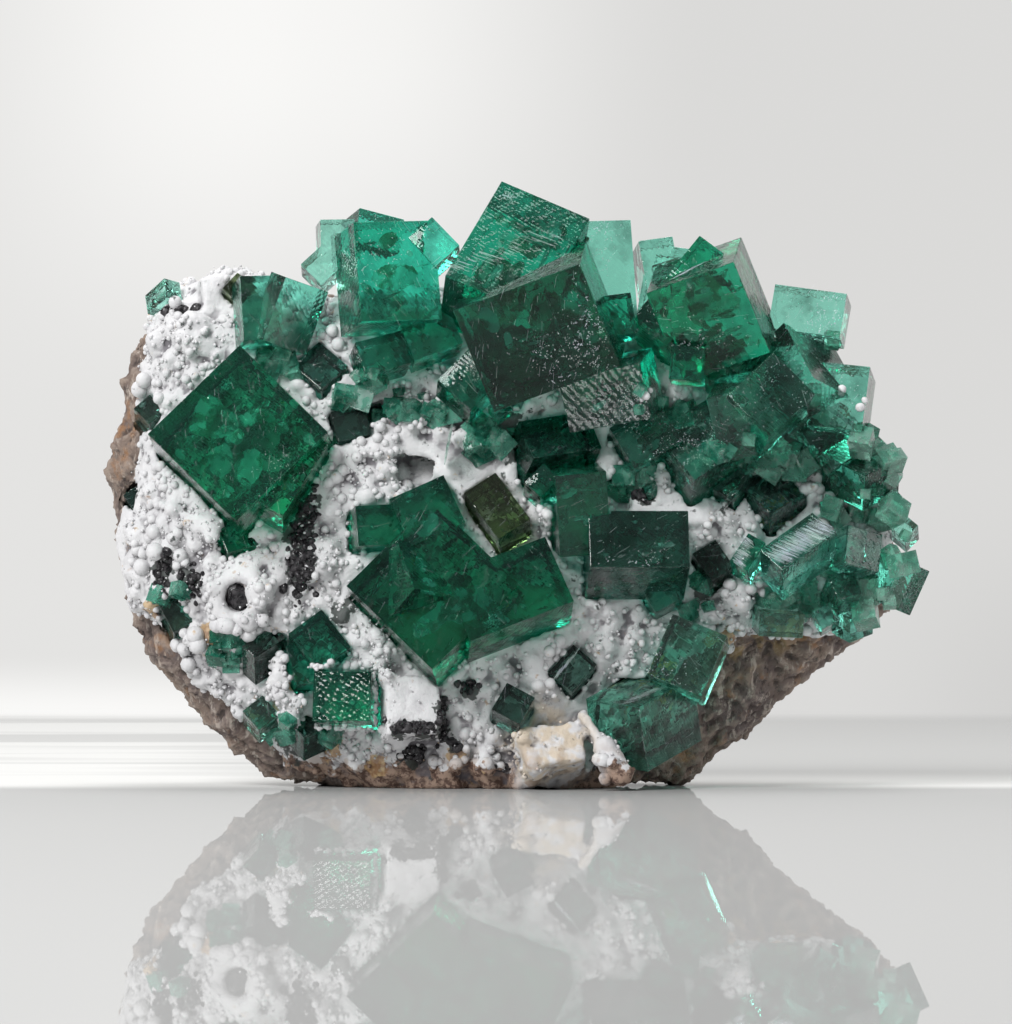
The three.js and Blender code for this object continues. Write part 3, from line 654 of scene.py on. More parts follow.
def rock_material():
    """Broken grey-brown rock with pale grains, dark grains, rust and ochre, painted shade in its creases and
    painted highlights on its ridges.
    """
    colour = tuple(bpy.context.scene.fluorite_rock.colour)
    n = Nodes("host_rock")
    broad = n.span(n.noise(9 * MM, 4, 0.6), 0.38, 0.64)
    shade = n.mix(broad, colour, ROCK["light"])
    pale = n.span(n.noise(1.3 * MM, 4, 0.7, 0.3, n.stretched(0.3)), 0.52, 0.66)
    shade = n.mix(n.math("MULTIPLY", pale, 0.75), shade, ROCK["pale"])
    dark = n.span(n.noise(1.2 * MM, 4, 0.7), 0.46, 0.32)
    shade = n.mix(n.math("MULTIPLY", dark, 0.85), shade, ROCK["dark"])
    rust = n.span(n.noise(5 * MM, 4, 0.65), 0.54, 0.68)
    shade = n.mix(n.math("MULTIPLY", rust, 0.6), shade, ROCK["rust"])
    ochre = n.math("MULTIPLY", n.near(mm(34, -12, 24), 10 * MM), n.span(n.noise(2.4 * MM), 0.45, 0.6))
    shade = n.mix(n.math("MULTIPLY", ochre, 0.55), shade, ROCK["ochre"])
    # Painted shade in the creases and painted highlights on the ridges, by how far each point lies below or
    # above its surroundings.
    deep = n.attribute("deep")
    shade = n.mix(n.math("MULTIPLY", n.span(deep, 0.05, 0.3), 0.7), shade, ROCK["painted_crease_shade"])
    shade = n.mix(n.math("MULTIPLY", n.span(deep, -0.05, -0.3), 0.35), shade, ROCK["painted_ridge_highlight"])
    n.put(n.shader.inputs["Base Color"], shade)
    n.put(n.shader.inputs["Roughness"], n.span(n.noise(1.5 * MM), 0.3, 0.7, 0.6, 0.95))
    n.put(n.shader.inputs["Normal"], n.bump(n.noise(0.45 * MM, 4), 0.25 * MM))
    return n.material


def black_material():
    """Black mineral grains with a dull metal gloss."""
    n = Nodes("black_mineral")
    grain = n.noise(0.8 * MM, 3)
    n.put(n.shader.inputs["Base Color"], n.mix(n.span(grain, 0.4, 0.7), *BLACK_SHADES))
    n.put(n.shader.inputs["Roughness"], n.span(grain, 0.35, 0.65, 0.16, 0.45))
    n.put(n.shader.inputs["Normal"], n.bump(grain, 0.12 * MM))
    return n.material


# Crystals


def sight(spot):
    """The camera's place, and the way from it through a place on the middle plane."""
    camera = bpy.context.scene.fluorite_stage
    start = Vector((camera.side, -camera.away, camera.height))
    return start, (mm(spot[0], 0, spot[1]) - start).normalized()


def seen_planes(spots):
    """The crystal faces that the camera sees at the places: a node, a normal and a distance each."""
    tree, owners = crystal_tree(with_owners=True)
    planes = []
    for spot in spots:
        start, way = sight(spot)
        hit, normal, index, _ = tree.ray_cast(start, way)
        if hit:
            planes.append((owners[index], normal.copy(), hit.dot(normal)))
    return planes


def face_share(planes, shares, node, face):
    """The largest share of the listed planes that a face of a node lies in, or None."""
    found = [
        share for (owner, normal, distance), share in zip(planes, shares)
        if owner == node and normal.dot(face.normal) > SAME_WAY
        and abs(face.calc_center_median().dot(normal) - distance) < SAME_PLANE
    ]
    return max(found, default=None)


class FLUORITE_OT_crystals(bpy.types.Operator):
    """Grows the clear crystals over their solids"""

    bl_idname = "fluorite.crystals"
    bl_label = "Crystals"

    def execute(self, context):
        edge = context.scene.fluorite_crystals.edge
        materials = {kind: crystal_material(kind) for kind in KINDS}
        satin_planes = seen_planes([spot for spot, _ in SATIN_FACES])
        satin_shares = [share for _, share in SATIN_FACES]
        painted_dark_planes = seen_planes([spot for spot, _ in PAINTED_DARK_FACES])
        painted_dark_shares = [share for _, share in PAINTED_DARK_FACES]
        for node, (kind, slot) in CRYSTALS.items():
            bm = merged(node)
            bmesh.ops.dissolve_limit(bm, angle_limit=FLAT_ANGLE, verts=bm.verts, edges=bm.edges)
            sharp = [
                e for e in bm.edges
                if e.is_convex and len(e.link_faces) == 2 and e.calc_length() > EDGE_LENGTH * edge
                and e.calc_face_angle() > EDGE_ANGLE
            ]
            bmesh.ops.bevel(
                bm, geom=sharp, offset=edge, offset_type="OFFSET", segments=2, profile=0.5,
                affect="EDGES", clamp_overlap=True, material=-1,
            )
            bmesh.ops.triangulate(bm, faces=bm.faces)
            satin = bm.faces.layers.float.new("satin")
            dim = bm.faces.layers.float.new("dim")
            middle = (Vector(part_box(node)[0]) + Vector(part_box(node)[1])) / 2
            for face in bm.faces:
                # How far this face's tint is painted dark, as painted shade.
                face[dim] = face_share(painted_dark_planes, painted_dark_shares, node, face) or 0.0
                chance = noise.noise(2.3 * face.normal + middle / (9 * MM)) + 0.35 * face.normal.z
                by_chance = min(max(1.6 * chance, 0.0), 0.4)
                listed = face_share(satin_planes, satin_shares, node, face)
                face[satin] = by_chance if listed is None else listed
            mesh = finished_mesh(bm, "clear_" + node)
            new_piece("clear_" + node, mesh, materials[kind], node, slot=slot)
        return {"FINISHED"}


def matrix_hull():
    """A convex body that reaches to a little under the crust's surface."""
    bm = bmesh.new()
    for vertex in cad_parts["white_crust"].data.vertices:
        bm.verts.new(vertex.co)
    bmesh.ops.convex_hull(bm, input=bm.verts)
    bmesh.ops.delete(bm, geom=[v for v in bm.verts if not v.link_faces], context="VERTS")
    bmesh.ops.recalc_face_normals(bm, faces=bm.faces)
    middle = Matrix.Translation(mm(*ROOT_MIDDLE))
    shrink = Matrix.Diagonal(ROOT_SHARES)
    bmesh.ops.transform(bm, matrix=middle @ shrink @ middle.inverted(), verts=bm.verts)
    return held(bm, "hull")


class FLUORITE_OT_roots(bpy.types.Operator):
    """Makes the cloudy roots that the clear crystals grow from"""

    bl_idname = "fluorite.roots"
    bl_label = "Crystal roots"

    def execute(self, context):
        bm = bmesh.new()
        for node in CRYSTALS:
            bm.from_mesh(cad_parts[node].data)
        bmesh.ops.remove_doubles(bm, verts=bm.verts, dist=WELD)
        holder = held(bm)
        hull = matrix_hull()
        cut = holder.modifiers.new("cut", "BOOLEAN")
        cut.operation = "INTERSECT"
        cut.solver = "EXACT"
        cut.object = hull
        mesh = fused(holder, ROOT_CELL)
        bpy.data.objects.remove(hull)
        tree = crystal_tree()
        normals = [v.normal.copy() for v in mesh.vertices]
        for vertex, normal in zip(mesh.vertices, normals):
            vertex.co -= ROOT_SKIN * normal
            if normal.y < -0.3:
                broken = abs(noise.fractal(vertex.co / (4 * MM), 0.8, 2.0, 4))
                moved = vertex.co + Vector((0, ROOT_BREAK * broken, 0))
                if inside_crystals(moved, tree) > ROOT_SKIN:
                    vertex.co = moved
        mesh.update()
        mesh.shade_flat()
        new_piece("crystal_roots", mesh, root_material(), slot="smoky_green")
        return {"FINISHED"}


# Rock and crust


def rock_relief(point):
    """How far the rock's surface stands out, from about -1 to 1."""
    broken = noise.ridged_multi_fractal(point / (12 * MM), 1.1, 2.2, 3, 0.9, 1.8)
    warped = point + 2.2 * MM * noise.noise_vector(point / (5 * MM))
    chunks = noise.voronoi(warped / (6.5 * MM))[0]
    grain = noise.fractal(warped / (1.8 * MM), 0.7, 2.0, 3)
    return 0.7 * (broken - 1.1) + 0.55 * (chunks[1] - chunks[0] - 0.3) + 0.5 * grain


def crust_relief(point):
    """How far the crust's surface stands out, from about -1 to 1."""
    sugar = noise.fractal(point / (1.1 * MM), 0.5, 2.0, 3)
    lumps = noise.noise(point / (2.6 * MM))
    return 0.7 * sugar + 0.8 * lumps


def raise_surface(mesh, relief, height, tree, gap):
    """Moves each vertex out by its relief, but no nearer to the crystals than a gap."""
    normals = [v.normal.copy() for v in mesh.vertices]
    for vertex, normal in zip(mesh.vertices, normals):
        step = height * relief(vertex.co)
        if step > 0:
            distance = tree.find_nearest(vertex.co)[3]
            step = min(step, max(0.0, distance - gap))
        vertex.co += normal * step
    mesh.update()


def mark_creases(mesh, rounds):
    """Gives each vertex how far it lies below its surroundings, as the attribute "deep", by which the crust
    and the rock get painted shade in their creases and the rock painted highlights on its ridges.
    """
    count = len(mesh.vertices)
    here = np.empty(count * 3)
    mesh.vertices.foreach_get("co", here)
    here = here.reshape(-1, 3)
    out = np.empty(count * 3)
    mesh.vertices.foreach_get("normal", out)
    ends = np.empty(len(mesh.edges) * 2, dtype=np.int32)
    mesh.edges.foreach_get("vertices", ends)
    first, second = ends.reshape(-1, 2).T
    links = np.bincount(first, minlength=count) + np.bincount(second, minlength=count)
    smooth = here.copy()
    for _ in range(rounds):
        total = [
            np.bincount(first, smooth[second, axis], count)
            + np.bincount(second, smooth[first, axis], count)
            for axis in range(3)
        ]
        smooth = np.array(total).T / np.maximum(links, 1)[:, None]
    deep = ((smooth - here) * out.reshape(-1, 3)).sum(axis=1) / MM
    mesh.attributes.new("deep", "FLOAT", "POINT").data.foreach_set("value", deep.astype(np.float32))


def mark_places(mesh, name, places):
    """Gives each vertex how near it is to the middle of the nearest place, as a named attribute."""
    here = np.empty(len(mesh.vertices) * 3)
    mesh.vertices.foreach_get("co", here)
    across, _, up = here.reshape(-1, 3).T / MM
    near = np.zeros(len(mesh.vertices))
    for x, z, reach in places:
        near = np.maximum(near, 1 - np.hypot(across - x, up - z) / reach)
    mesh.attributes.new(name, "FLOAT", "POINT").data.foreach_set("value", near.astype(np.float32))


def keep_above_floor(mesh):
    """Lays what reached below the cut back on it."""
    for vertex in mesh.vertices:
        vertex.co.z = max(vertex.co.z, 0.0)


class FLUORITE_OT_rock(bpy.types.Operator):
    """Breaks the host rock's surface"""

    bl_idname = "fluorite.rock"
    bl_label = "Host rock"

    def execute(self, context):
        sizes = context.scene.fluorite_rock
        mesh = fused(held(merged("matrix_rock")), sizes.cell)
        noise.seed_set(SEEDS["rock"])
        raise_surface(mesh, rock_relief, sizes.relief, crystal_tree(), TOUCH)
        keep_above_floor(mesh)
        mark_creases(mesh, 5)
        mesh.shade_smooth()
        new_piece("broken_rock", mesh, rock_material(), "matrix_rock", slot="host_rock")
        return {"FINISHED"}


class FLUORITE_OT_crust(bpy.types.Operator):
    """Builds the white crust from its solid and fused knobs"""

    bl_idname = "fluorite.crust"
    bl_label = "White crust"

    def execute(self, context):
        sizes = context.scene.fluorite_crust
        tree = crystal_tree()
        rng = random.Random(SEEDS["knobs"])
        material = crust_material()
        knobs = []
        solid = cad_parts["white_crust"].data
        for point, normal in open_places(solid, sizes.knobs, rng, tree, 0.5 * MM):
            if near_any(point, SMOOTH_PLACES) or point.x < ROCK_EDGE:
                continue
            coarse = 0.5 + 0.5 * noise.noise(point / (14 * MM))
            radius = (0.9 + (0.4 + 1.4 * coarse) * rng.random() ** 1.5) * MM
            radius = min(radius, 0.9 * tree.find_nearest(point)[3])
            if radius > 0.45 * MM:
                knobs.append(ball(point - 0.15 * radius * normal, radius, rng))
        bm = merged("white_crust")
        bm.from_mesh(grown_mesh("knobs", knobs, material, "ball"))
        mesh = fused(held(bm), sizes.cell)
        raise_surface(mesh, crust_relief, sizes.relief, tree, TOUCH)
        keep_above_floor(mesh)
        mark_creases(mesh, 7)
        # Marks where the crust gets painted shade, between the crystals and in recesses.
        mark_places(mesh, "dark", PAINTED_SHADE_PLACES)
        mark_places(mesh, "rusty", RUSTY_PLACES)
        mesh.shade_smooth()
        new_piece("bubbly_crust", mesh, material, "white_crust", slot="crust")
        return {"FINISHED"}


# Globules and grains


SHAPES = {
    "leaf": ("GeometryNodeMeshGrid", {"Size X": 2.0, "Size Y": 2.0, "Vertices X": 2, "Vertices Y": 2}),
    "cube": ("GeometryNodeMeshCube", {"Size": (2.0, 2.0, 2.0)}),
    "grain": ("GeometryNodeMeshIcoSphere", {"Radius": 1.0, "Subdivisions": 1}),
    "ball": ("GeometryNodeMeshIcoSphere", {"Radius": 1.0, "Subdivisions": 2}),
}


def grains_group(material, shape):
    """Geometry nodes that put a small shape at each point, with the point's size and turn."""
    group = bpy.data.node_groups.new("grains", "GeometryNodeTree")
    group.interface.new_socket("Geometry", in_out="INPUT", socket_type="NodeSocketGeometry")
    group.interface.new_socket("Geometry", in_out="OUTPUT", socket_type="NodeSocketGeometry")
    first = group.nodes.new("NodeGroupInput")
    last = group.nodes.new("NodeGroupOutput")
    kind, values = SHAPES[shape]
    grain = group.nodes.new(kind)
    for name, value in values.items():
        grain.inputs[name].default_value = value
    size = group.nodes.new("GeometryNodeInputNamedAttribute")
    size.data_type = "FLOAT_VECTOR"
    size.inputs["Name"].default_value = "size"
    turn = group.nodes.new("GeometryNodeInputNamedAttribute")
    turn.data_type = "FLOAT_VECTOR"
    turn.inputs["Name"].default_value = "turn"
    copies = group.nodes.new("GeometryNodeInstanceOnPoints")
    real = group.nodes.new("GeometryNodeRealizeInstances")
    paint = group.nodes.new("GeometryNodeSetMaterial")
    paint.inputs["Material"].default_value = material
    link = group.links.new
    link(first.outputs[0], copies.inputs["Points"])
    link(grain.outputs["Mesh"], copies.inputs["Instance"])
    link(size.outputs["Attribute"], copies.inputs["Scale"])
    link(turn.outputs["Attribute"], copies.inputs["Rotation"])
    link(copies.outputs["Instances"], real.inputs["Geometry"])
    link(real.outputs["Geometry"], paint.inputs["Geometry"])
    link(paint.outputs["Geometry"], last.inputs[0])
    return group


def any_turn(rng):
    """A turn drawn at random, as angles about the three axes."""
    return tuple(rng.uniform(0, 2 * math.pi) for _ in range(3))


def ball(point, radius, rng):
    """A round grain: its place, its size and its turn."""
    return point, (radius, radius, radius), any_turn(rng)


def chip(point, radius, rng):
    """An angular grain of uneven size."""
    return point, tuple(radius * rng.uniform(0.5, 1.3) for _ in range(3)), any_turn(rng)


def any_way(rng):
    """A direction drawn at random."""
    return Vector([rng.gauss(0, 1) for _ in range(3)]).normalized()


def point_in_box(low, high, rng):
    """A point drawn at random between two corners."""
    return Vector([rng.uniform(a, b) for a, b in zip(low, high)])


def point_in_triangle(a, b, c, rng):
    """A point drawn at random in a triangle."""
    s, t = rng.random(), rng.random()
    if s + t > 1:
        s, t = 1 - s, 1 - t
    return a + s * (b - a) + t * (c - a)


def along_face(normal, angle=0.0):
    """A way along a face, turned by an angle about its normal."""
    along = normal.orthogonal().normalized()
    along.rotate(Quaternion(normal, angle))
    return along


def sheet_turn(along, normal):
    """The turn that lays a grain's width along one way and its thickness along the normal."""
    across = normal.cross(along).normalized()
    return tuple(Matrix((along, across, normal)).transposed().to_euler())


def grown_mesh(name, spots, material, shape):
    """One mesh of many small grains, each given as its place, size and turn."""
    bm = bmesh.new()
    for point, _, _ in spots:
        bm.verts.new(point)
    mesh = finished_mesh(bm, name)
    for label, index in (("size", 1), ("turn", 2)):
        layer = mesh.attributes.new(label, "FLOAT_VECTOR", "POINT")
        layer.data.foreach_set("vector", [number for spot in spots for number in spot[index]])
    holder = bpy.data.objects.new("holder", mesh)
    bpy.context.scene.collection.objects.link(holder)
    holder.modifiers.new("grains", "NODES").node_group = grains_group(material, shape)
    bpy.context.view_layer.update()
    return evaluated(holder)


def grains(name, spots, material, rough, slot, shape="ball", smooth=True):
    """One piece of many small grains, whose surface the rough height bends."""
    made = grown_mesh(name, spots, material, shape)
    if rough:
        normals = [v.normal.copy() for v in made.vertices]
        for vertex, normal in zip(made.vertices, normals):
            vertex.co += normal * rough * noise.noise(vertex.co / (0.8 * MM))
    keep_above_floor(made)
    if smooth:
        made.shade_smooth()
    else:
        made.shade_flat()
    return new_piece(name, made, material, slot=slot)


def surface_tree(name):
    """A piece's surface for sampling and ray casts."""
    mesh = bpy.data.objects[name].data
    mesh.calc_loop_triangles()
    return BVHTree.FromPolygons(
        [v.co.copy() for v in mesh.vertices], [list(t.vertices) for t in mesh.loop_triangles]
    )


def near_any(point, places):
    """True if a point lies in one of the round places, seen from the front."""
    return any(math.hypot(point.x - x * MM, point.z - z * MM) < reach * MM for x, z, reach in places)


def open_places(mesh, count, rng, tree, room):
    """Points on a mesh's front away from the crystals, with the way out of it."""
    mesh.calc_loop_triangles()
    faces = [t for t in mesh.loop_triangles if t.normal.y < FRONT]
    weights = [t.area for t in faces]
    places = []
    while len(places) < count:
        for face in rng.choices(faces, weights, k=count):
            a, b, c = (mesh.vertices[i].co for i in face.vertices)
            point = point_in_triangle(a, b, c, rng)
            if tree.find_nearest(point)[3] > room:
                places.append((point, face.normal.copy()))
    return places[:count]


def inside_crystals(point, tree):
    """How deep a point lies inside the crystals, negative outside."""
    place, normal, _, distance = tree.find_nearest(point)
    return distance if (point - place).dot(normal) < 0 else -distance


class FLUORITE_OT_globules(bpy.types.Operator):
    """Grows clumps of white globules on the crust"""

    bl_idname = "fluorite.globules"
    bl_label = "Globules"

    def execute(self, context):
        sizes = context.scene.fluorite_crust
        rng = random.Random(SEEDS["globules"])
        tree = crystal_tree()
        material = bpy.data.materials["white_crust"]
        mesh = bpy.data.objects["bubbly_crust"].data
        spots = []
        for point, normal in open_places(mesh, sizes.globules, rng, tree, 0.3 * MM):
            if near_any(point, SMOOTH_PLACES) or (near_any(point, PAINTED_SHADE_PLACES) and rng.random() < 0.9):
                continue
            if point.z < rng.uniform(1.5, 4.5) * MM or point.x < ROCK_EDGE:
                continue
            coarse = max(0.0, noise.noise(point / (9 * MM)))
            radius = (0.24 + (0.4 + 1.5 * coarse) * rng.random() ** 1.7) * MM
            centre = point + rng.uniform(-0.2, 0.5) * radius * normal
            if inside_crystals(centre, tree) < -0.5 * radius:
                spots.append(ball(centre, radius, rng))
        spots.sort(key=lambda spot: spot[0].x)
        share = math.ceil(len(spots) / 2)
        for index in range(2):
            name = f"globules_{index + 1}"
            grains(name, spots[index * share:(index + 1) * share], material, 0.09 * MM, "crust")
        sugar = []
        for point, normal in open_places(mesh, sizes.grains, rng, tree, 0.2 * MM):
            if point.z < 4 * MM or noise.noise(point / (6 * MM)) < -0.02:
                continue
            if near_any(point, SMOOTH_PLACES) and rng.random() < 0.6:
                continue
            radius = rng.uniform(0.08, 0.24) * MM
            place = point + rng.uniform(0.0, 0.9) * MM * normal * rng.random()
            if inside_crystals(place, tree) < -0.5 * radius:
                sugar.append(ball(place, radius, rng))
        grains("sugar_grains", sugar, material, 0.0, "crust", "grain")
        return {"FINISHED"}


def on_surface(tree, across, up):
    """Where the camera's line through a place on the middle plane meets a surface, and its normal."""
    start, way = sight((across, up))
    hit = tree.ray_cast(start, way)
    return hit[0], hit[1]


def frame_beads(tree, crystals, rng):
    """White globules along the rim of the framed crystal."""
    spots = []
    for (x, z), (last_x, last_z), thick in CRYSTAL_FRAME:
        steps = int(math.hypot(last_x - x, last_z - z) / 0.22)
        for index in range(steps):
            share = index / steps
            across = x + share * (last_x - x) + thick * rng.gauss(0, 0.35)
            up = z + share * (last_z - z) + thick * rng.gauss(0, 0.35)
            for ground in (tree, crystals):
                place, _ = on_surface(ground, across, up)
                if place:
                    spots.append(ball(place, thick * rng.uniform(0.35, 0.8) * MM, rng))
    return spots


class FLUORITE_OT_black_grains(bpy.types.Operator):
    """Fills the crevices and the vug with black grains, and puts white beads on crystals"""

    bl_idname = "fluorite.black_grains"
    bl_label = "Black grains and beads"

    def execute(self, context):
        rng = random.Random(SEEDS["black"])
        tree = surface_tree("bubbly_crust")
        crystals = crystal_tree()
        spots = []
        for across, up, wide, high, count in BLACK_CREVICES:
            for _ in range(count):
                x, z = across + wide * rng.gauss(0, 0.5), up + high * rng.gauss(0, 0.5)
                place, _ = on_surface(tree, x, z)
                if place and inside_crystals(place, crystals) < -0.3 * MM:
                    spots.append(chip(place, rng.uniform(0.25, 0.8) * MM, rng))
        grains("black_grains", spots, black_material(), 0.3 * MM, "host_rock", smooth=False)
        place, _ = on_surface(tree, *VUG)
        gem = [
            chip(
                place + mm(rng.gauss(0, 0.5), -0.8, rng.gauss(0, 0.4)), rng.uniform(1.5, 2.1) * MM, rng
            )
            for _ in range(6)
        ]
        black = bpy.data.materials["black_mineral"]
        grains("vug_gem", gem, black, 0.3 * MM, "host_rock", "grain", smooth=False)
        beads = frame_beads(tree, crystals, rng)
        for across, up, radius in BEADS:
            place, normal = on_surface(crystals, across, up)
            if place:
                beads.append(ball(place - normal * 0.2 * radius * MM, radius * MM, rng))
        grains("white_beads", beads, bpy.data.materials["white_crust"], 0.15 * MM, "crust")
        return {"FINISHED"}


class FLUORITE_OT_veils(bpy.types.Operator):
    """Puts healed cracks of small flakes inside the crystals"""

    bl_idname = "fluorite.veils"
    bl_label = "Veils in the crystals"

    def execute(self, context):
        rng = random.Random(SEEDS["veils"])
        tree = crystal_tree()
        boxes = [(Vector(low), Vector(high)) for low, high in (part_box(node) for node in CRYSTALS)]
        room = [(high - low).x * (high - low).y * (high - low).z for low, high in boxes]
        spots = []
        for _ in range(context.scene.fluorite_crystals.veils):
            low, high = rng.choices(boxes, room)[0]
            middle = point_in_box(low, high, rng)
            if inside_crystals(middle, tree) < 0.5 * MM:
                continue
            normal = any_way(rng)
            along = along_face(normal)
            across = normal.cross(along)
            reach = rng.uniform(0.8, 3.2) * MM
            for _ in range(VEIL_FLAKES):
                place = middle + reach * (rng.gauss(0, 0.5) * along + rng.gauss(0, 0.5) * across)
                place += 0.06 * reach * rng.gauss(0, 1) * normal
                if inside_crystals(place, tree) > 0.35 * MM:
                    size = rng.uniform(0.02, 0.11) * MM
                    turn = sheet_turn((along + 0.3 * rng.gauss(0, 1) * across).normalized(), normal)
                    spots.append((place, (size, 0.5 * size, MM), turn))
        material = flake_material("crystal_veil", 5 * MM, VEIL_SHADES)
        grains("crystal_veils", spots, material, 0.0, "pale_green", "leaf", smooth=False)
        self.shards(boxes, room, rng)
        return {"FINISHED"}

    def shards(self, boxes, room, rng):
        """Adds larger flat cracks, most of them along the crystals' own faces."""
        spots = []
        tree, owners = crystal_tree(with_owners=True)
        for _ in range(bpy.context.scene.fluorite_crystals.shards):
            low, high = rng.choices(boxes, room)[0]
            middle = point_in_box(low, high, rng)
            depth = inside_crystals(middle, tree)
            _, normal, index, _ = tree.find_nearest(middle)
            if depth < 0.9 * MM or CRYSTALS[owners[index]][0] in ("pale", "teal"):
                continue
            normal = normal.normalized()
            if rng.random() < 0.45:
                normal = any_way(rng)
            along = along_face(normal, rng.uniform(0, math.pi))
            reach = depth * rng.uniform(0.4, 1.0)
            size = (reach, reach * rng.uniform(0.3, 0.9), 0.01 * MM)
            spots.append((middle, size, sheet_turn(along, normal)))
        grains("crystal_shards", spots, shard_material(), 0.0, "pale_green", "grain", smooth=False)


def on_face(tree, across, up, normal):
    """A place on the same face as a normal, or None."""
    place, found = on_surface(tree, across, up)
    return place if place and found.dot(normal) > SAME_WAY else None


class FLUORITE_OT_small_crystals(bpy.types.Operator):
    """Grows small crystals in the gaps between the large ones"""

    bl_idname = "fluorite.small_crystals"
    bl_label = "Small crystals"

    def execute(self, context):
        rng = random.Random(SEEDS["small"])
        tree = surface_tree("bubbly_crust")
        crystals = crystal_tree()
        spots = []
        for places, ground in ((SMALL_CRYSTALS, tree), (ON_CRYSTALS, crystals)):
            for across, up, wide, high, count, largest in places:
                for _ in range(count):
                    x, z = across + wide * rng.uniform(-1, 1), up + high * rng.uniform(-1, 1)
                    place, _ = on_surface(ground, x, z)
                    size = largest * rng.uniform(0.3, 1.0) * MM
                    if place and (ground is crystals or inside_crystals(place, crystals) < -0.2 * size):
                        stretch = tuple(size * rng.uniform(0.8, 1.2) for _ in range(3))
                        spots.append((place, stretch, any_turn(rng)))
        material = small_crystal_material()
        grains("small_crystals", spots, material, 0.0, "smoky_green", "cube", smooth=False)
        return {"FINISHED"}


class FLUORITE_OT_marks(bpy.types.Operator):
    """Lays growth lines, frost, scratches and dust on the crystals' faces"""

    bl_idname = "fluorite.marks"
    bl_label = "Marks on the crystals"

    def execute(self, context):
        rng = random.Random(SEEDS["marks"])
        tree = crystal_tree()
        spots = []
        for across, up, last_across, last_up, lean, count, length in STRIATED:
            _, normal = on_surface(tree, (across + last_across) / 2, (up + last_up) / 2)
            if not normal:
                continue
            way = Vector((math.cos(math.radians(lean)), 0, math.sin(math.radians(lean))))
            along = (way - way.dot(normal) * normal).normalized()
            for _ in range(count):
                share, slide = rng.random(), rng.uniform(-0.7, 0.7) * length
                x = across + share * (last_across - across) + slide * way.x
                z = up + share * (last_up - up) + slide * way.z
                place = on_face(tree, x, z, normal)
                if place:
                    size = (length * rng.uniform(0.3, 1.0) * MM, rng.uniform(0.008, 0.025) * MM, MM)
                    spots.append((place + FACE_LIFT * normal, size, sheet_turn(along, normal)))
        for across, up, wide, high, count in FROSTED:
            for _ in range(count):
                x, z = across + wide * rng.gauss(0, 0.6), up + high * rng.gauss(0, 0.6)
                place, normal = on_surface(tree, x, z)
                if place and noise.fractal(place / (0.9 * MM), 0.8, 2.0, 3) > 0.05:
                    size = rng.uniform(0.012, 0.055) * MM
                    along = along_face(normal, rng.uniform(0, math.pi))
                    turn = sheet_turn(along, normal)
                    wide_size = (size * rng.uniform(1, 2.5), size, MM)
                    spots.append((place + FACE_LIFT * normal, wide_size, turn))
        for place, normal in self.face_places(FACE_SCRATCHES, rng):
            lean = 9 * noise.noise(3 * normal)
            along = along_face(normal, lean + 0.15 * rng.gauss(0, 1))
            size = (rng.uniform(0.1, 1.5) * rng.random() * MM, rng.uniform(0.006, 0.014) * MM, MM)
            spots.append((place + FACE_LIFT * normal, size, sheet_turn(along, normal)))
        for place, normal in self.face_places(FACE_DUST, rng):
            size = rng.uniform(0.02, 0.07) * rng.random() * MM
            turn = sheet_turn(along_face(normal), normal)
            spots.append((place + FACE_LIFT * normal, (size, size, MM), turn))
        material = flake_material("crystal_marks", 4 * MM, MARK_SHADES)
        grains("crystal_marks", spots, material, 0.0, "pale_green", "leaf", smooth=False)
        return {"FINISHED"}

    def face_places(self, count, rng):
        """Random places on the crystals' front faces."""
        corners, weights = [], []
        for node in CRYSTALS:
            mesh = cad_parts[node].data
            mesh.calc_loop_triangles()
            for face in mesh.loop_triangles:
                if face.normal.y < 0.3:
                    corners.append(([mesh.vertices[i].co for i in face.vertices], face.normal.copy()))
                    weights.append(face.area)
        places = []
        for (a, b, c), normal in rng.choices(corners, weights, k=count):
            places.append((point_in_triangle(a, b, c, rng), normal))
        return places


# Stage


def lamp(name, power, size, place, target):
    """A square soft lamp that looks at a target."""
    data = bpy.data.lights.new(name, "AREA")
    data.energy = power
    data.size = size
    lamp_object = bpy.data.objects.new(name, data)
    bpy.context.scene.collection.objects.link(lamp_object)
    turn = (Vector(target) - Vector(place)).to_track_quat("-Z", "Y")
    lamp_object.matrix_world = Matrix.Translation(place) @ turn.to_matrix().to_4x4()
    return lamp_object


def stage_plane(name, corners, material):
    """A flat piece of the stage."""
    bm = bmesh.new()
    bm.faces.new([bm.verts.new(corner) for corner in corners])
    plane = bpy.data.objects.new(name, finished_mesh(bm, name))
    plane.data.materials.append(material)
    bpy.context.scene.collection.objects.link(plane)
    return plane


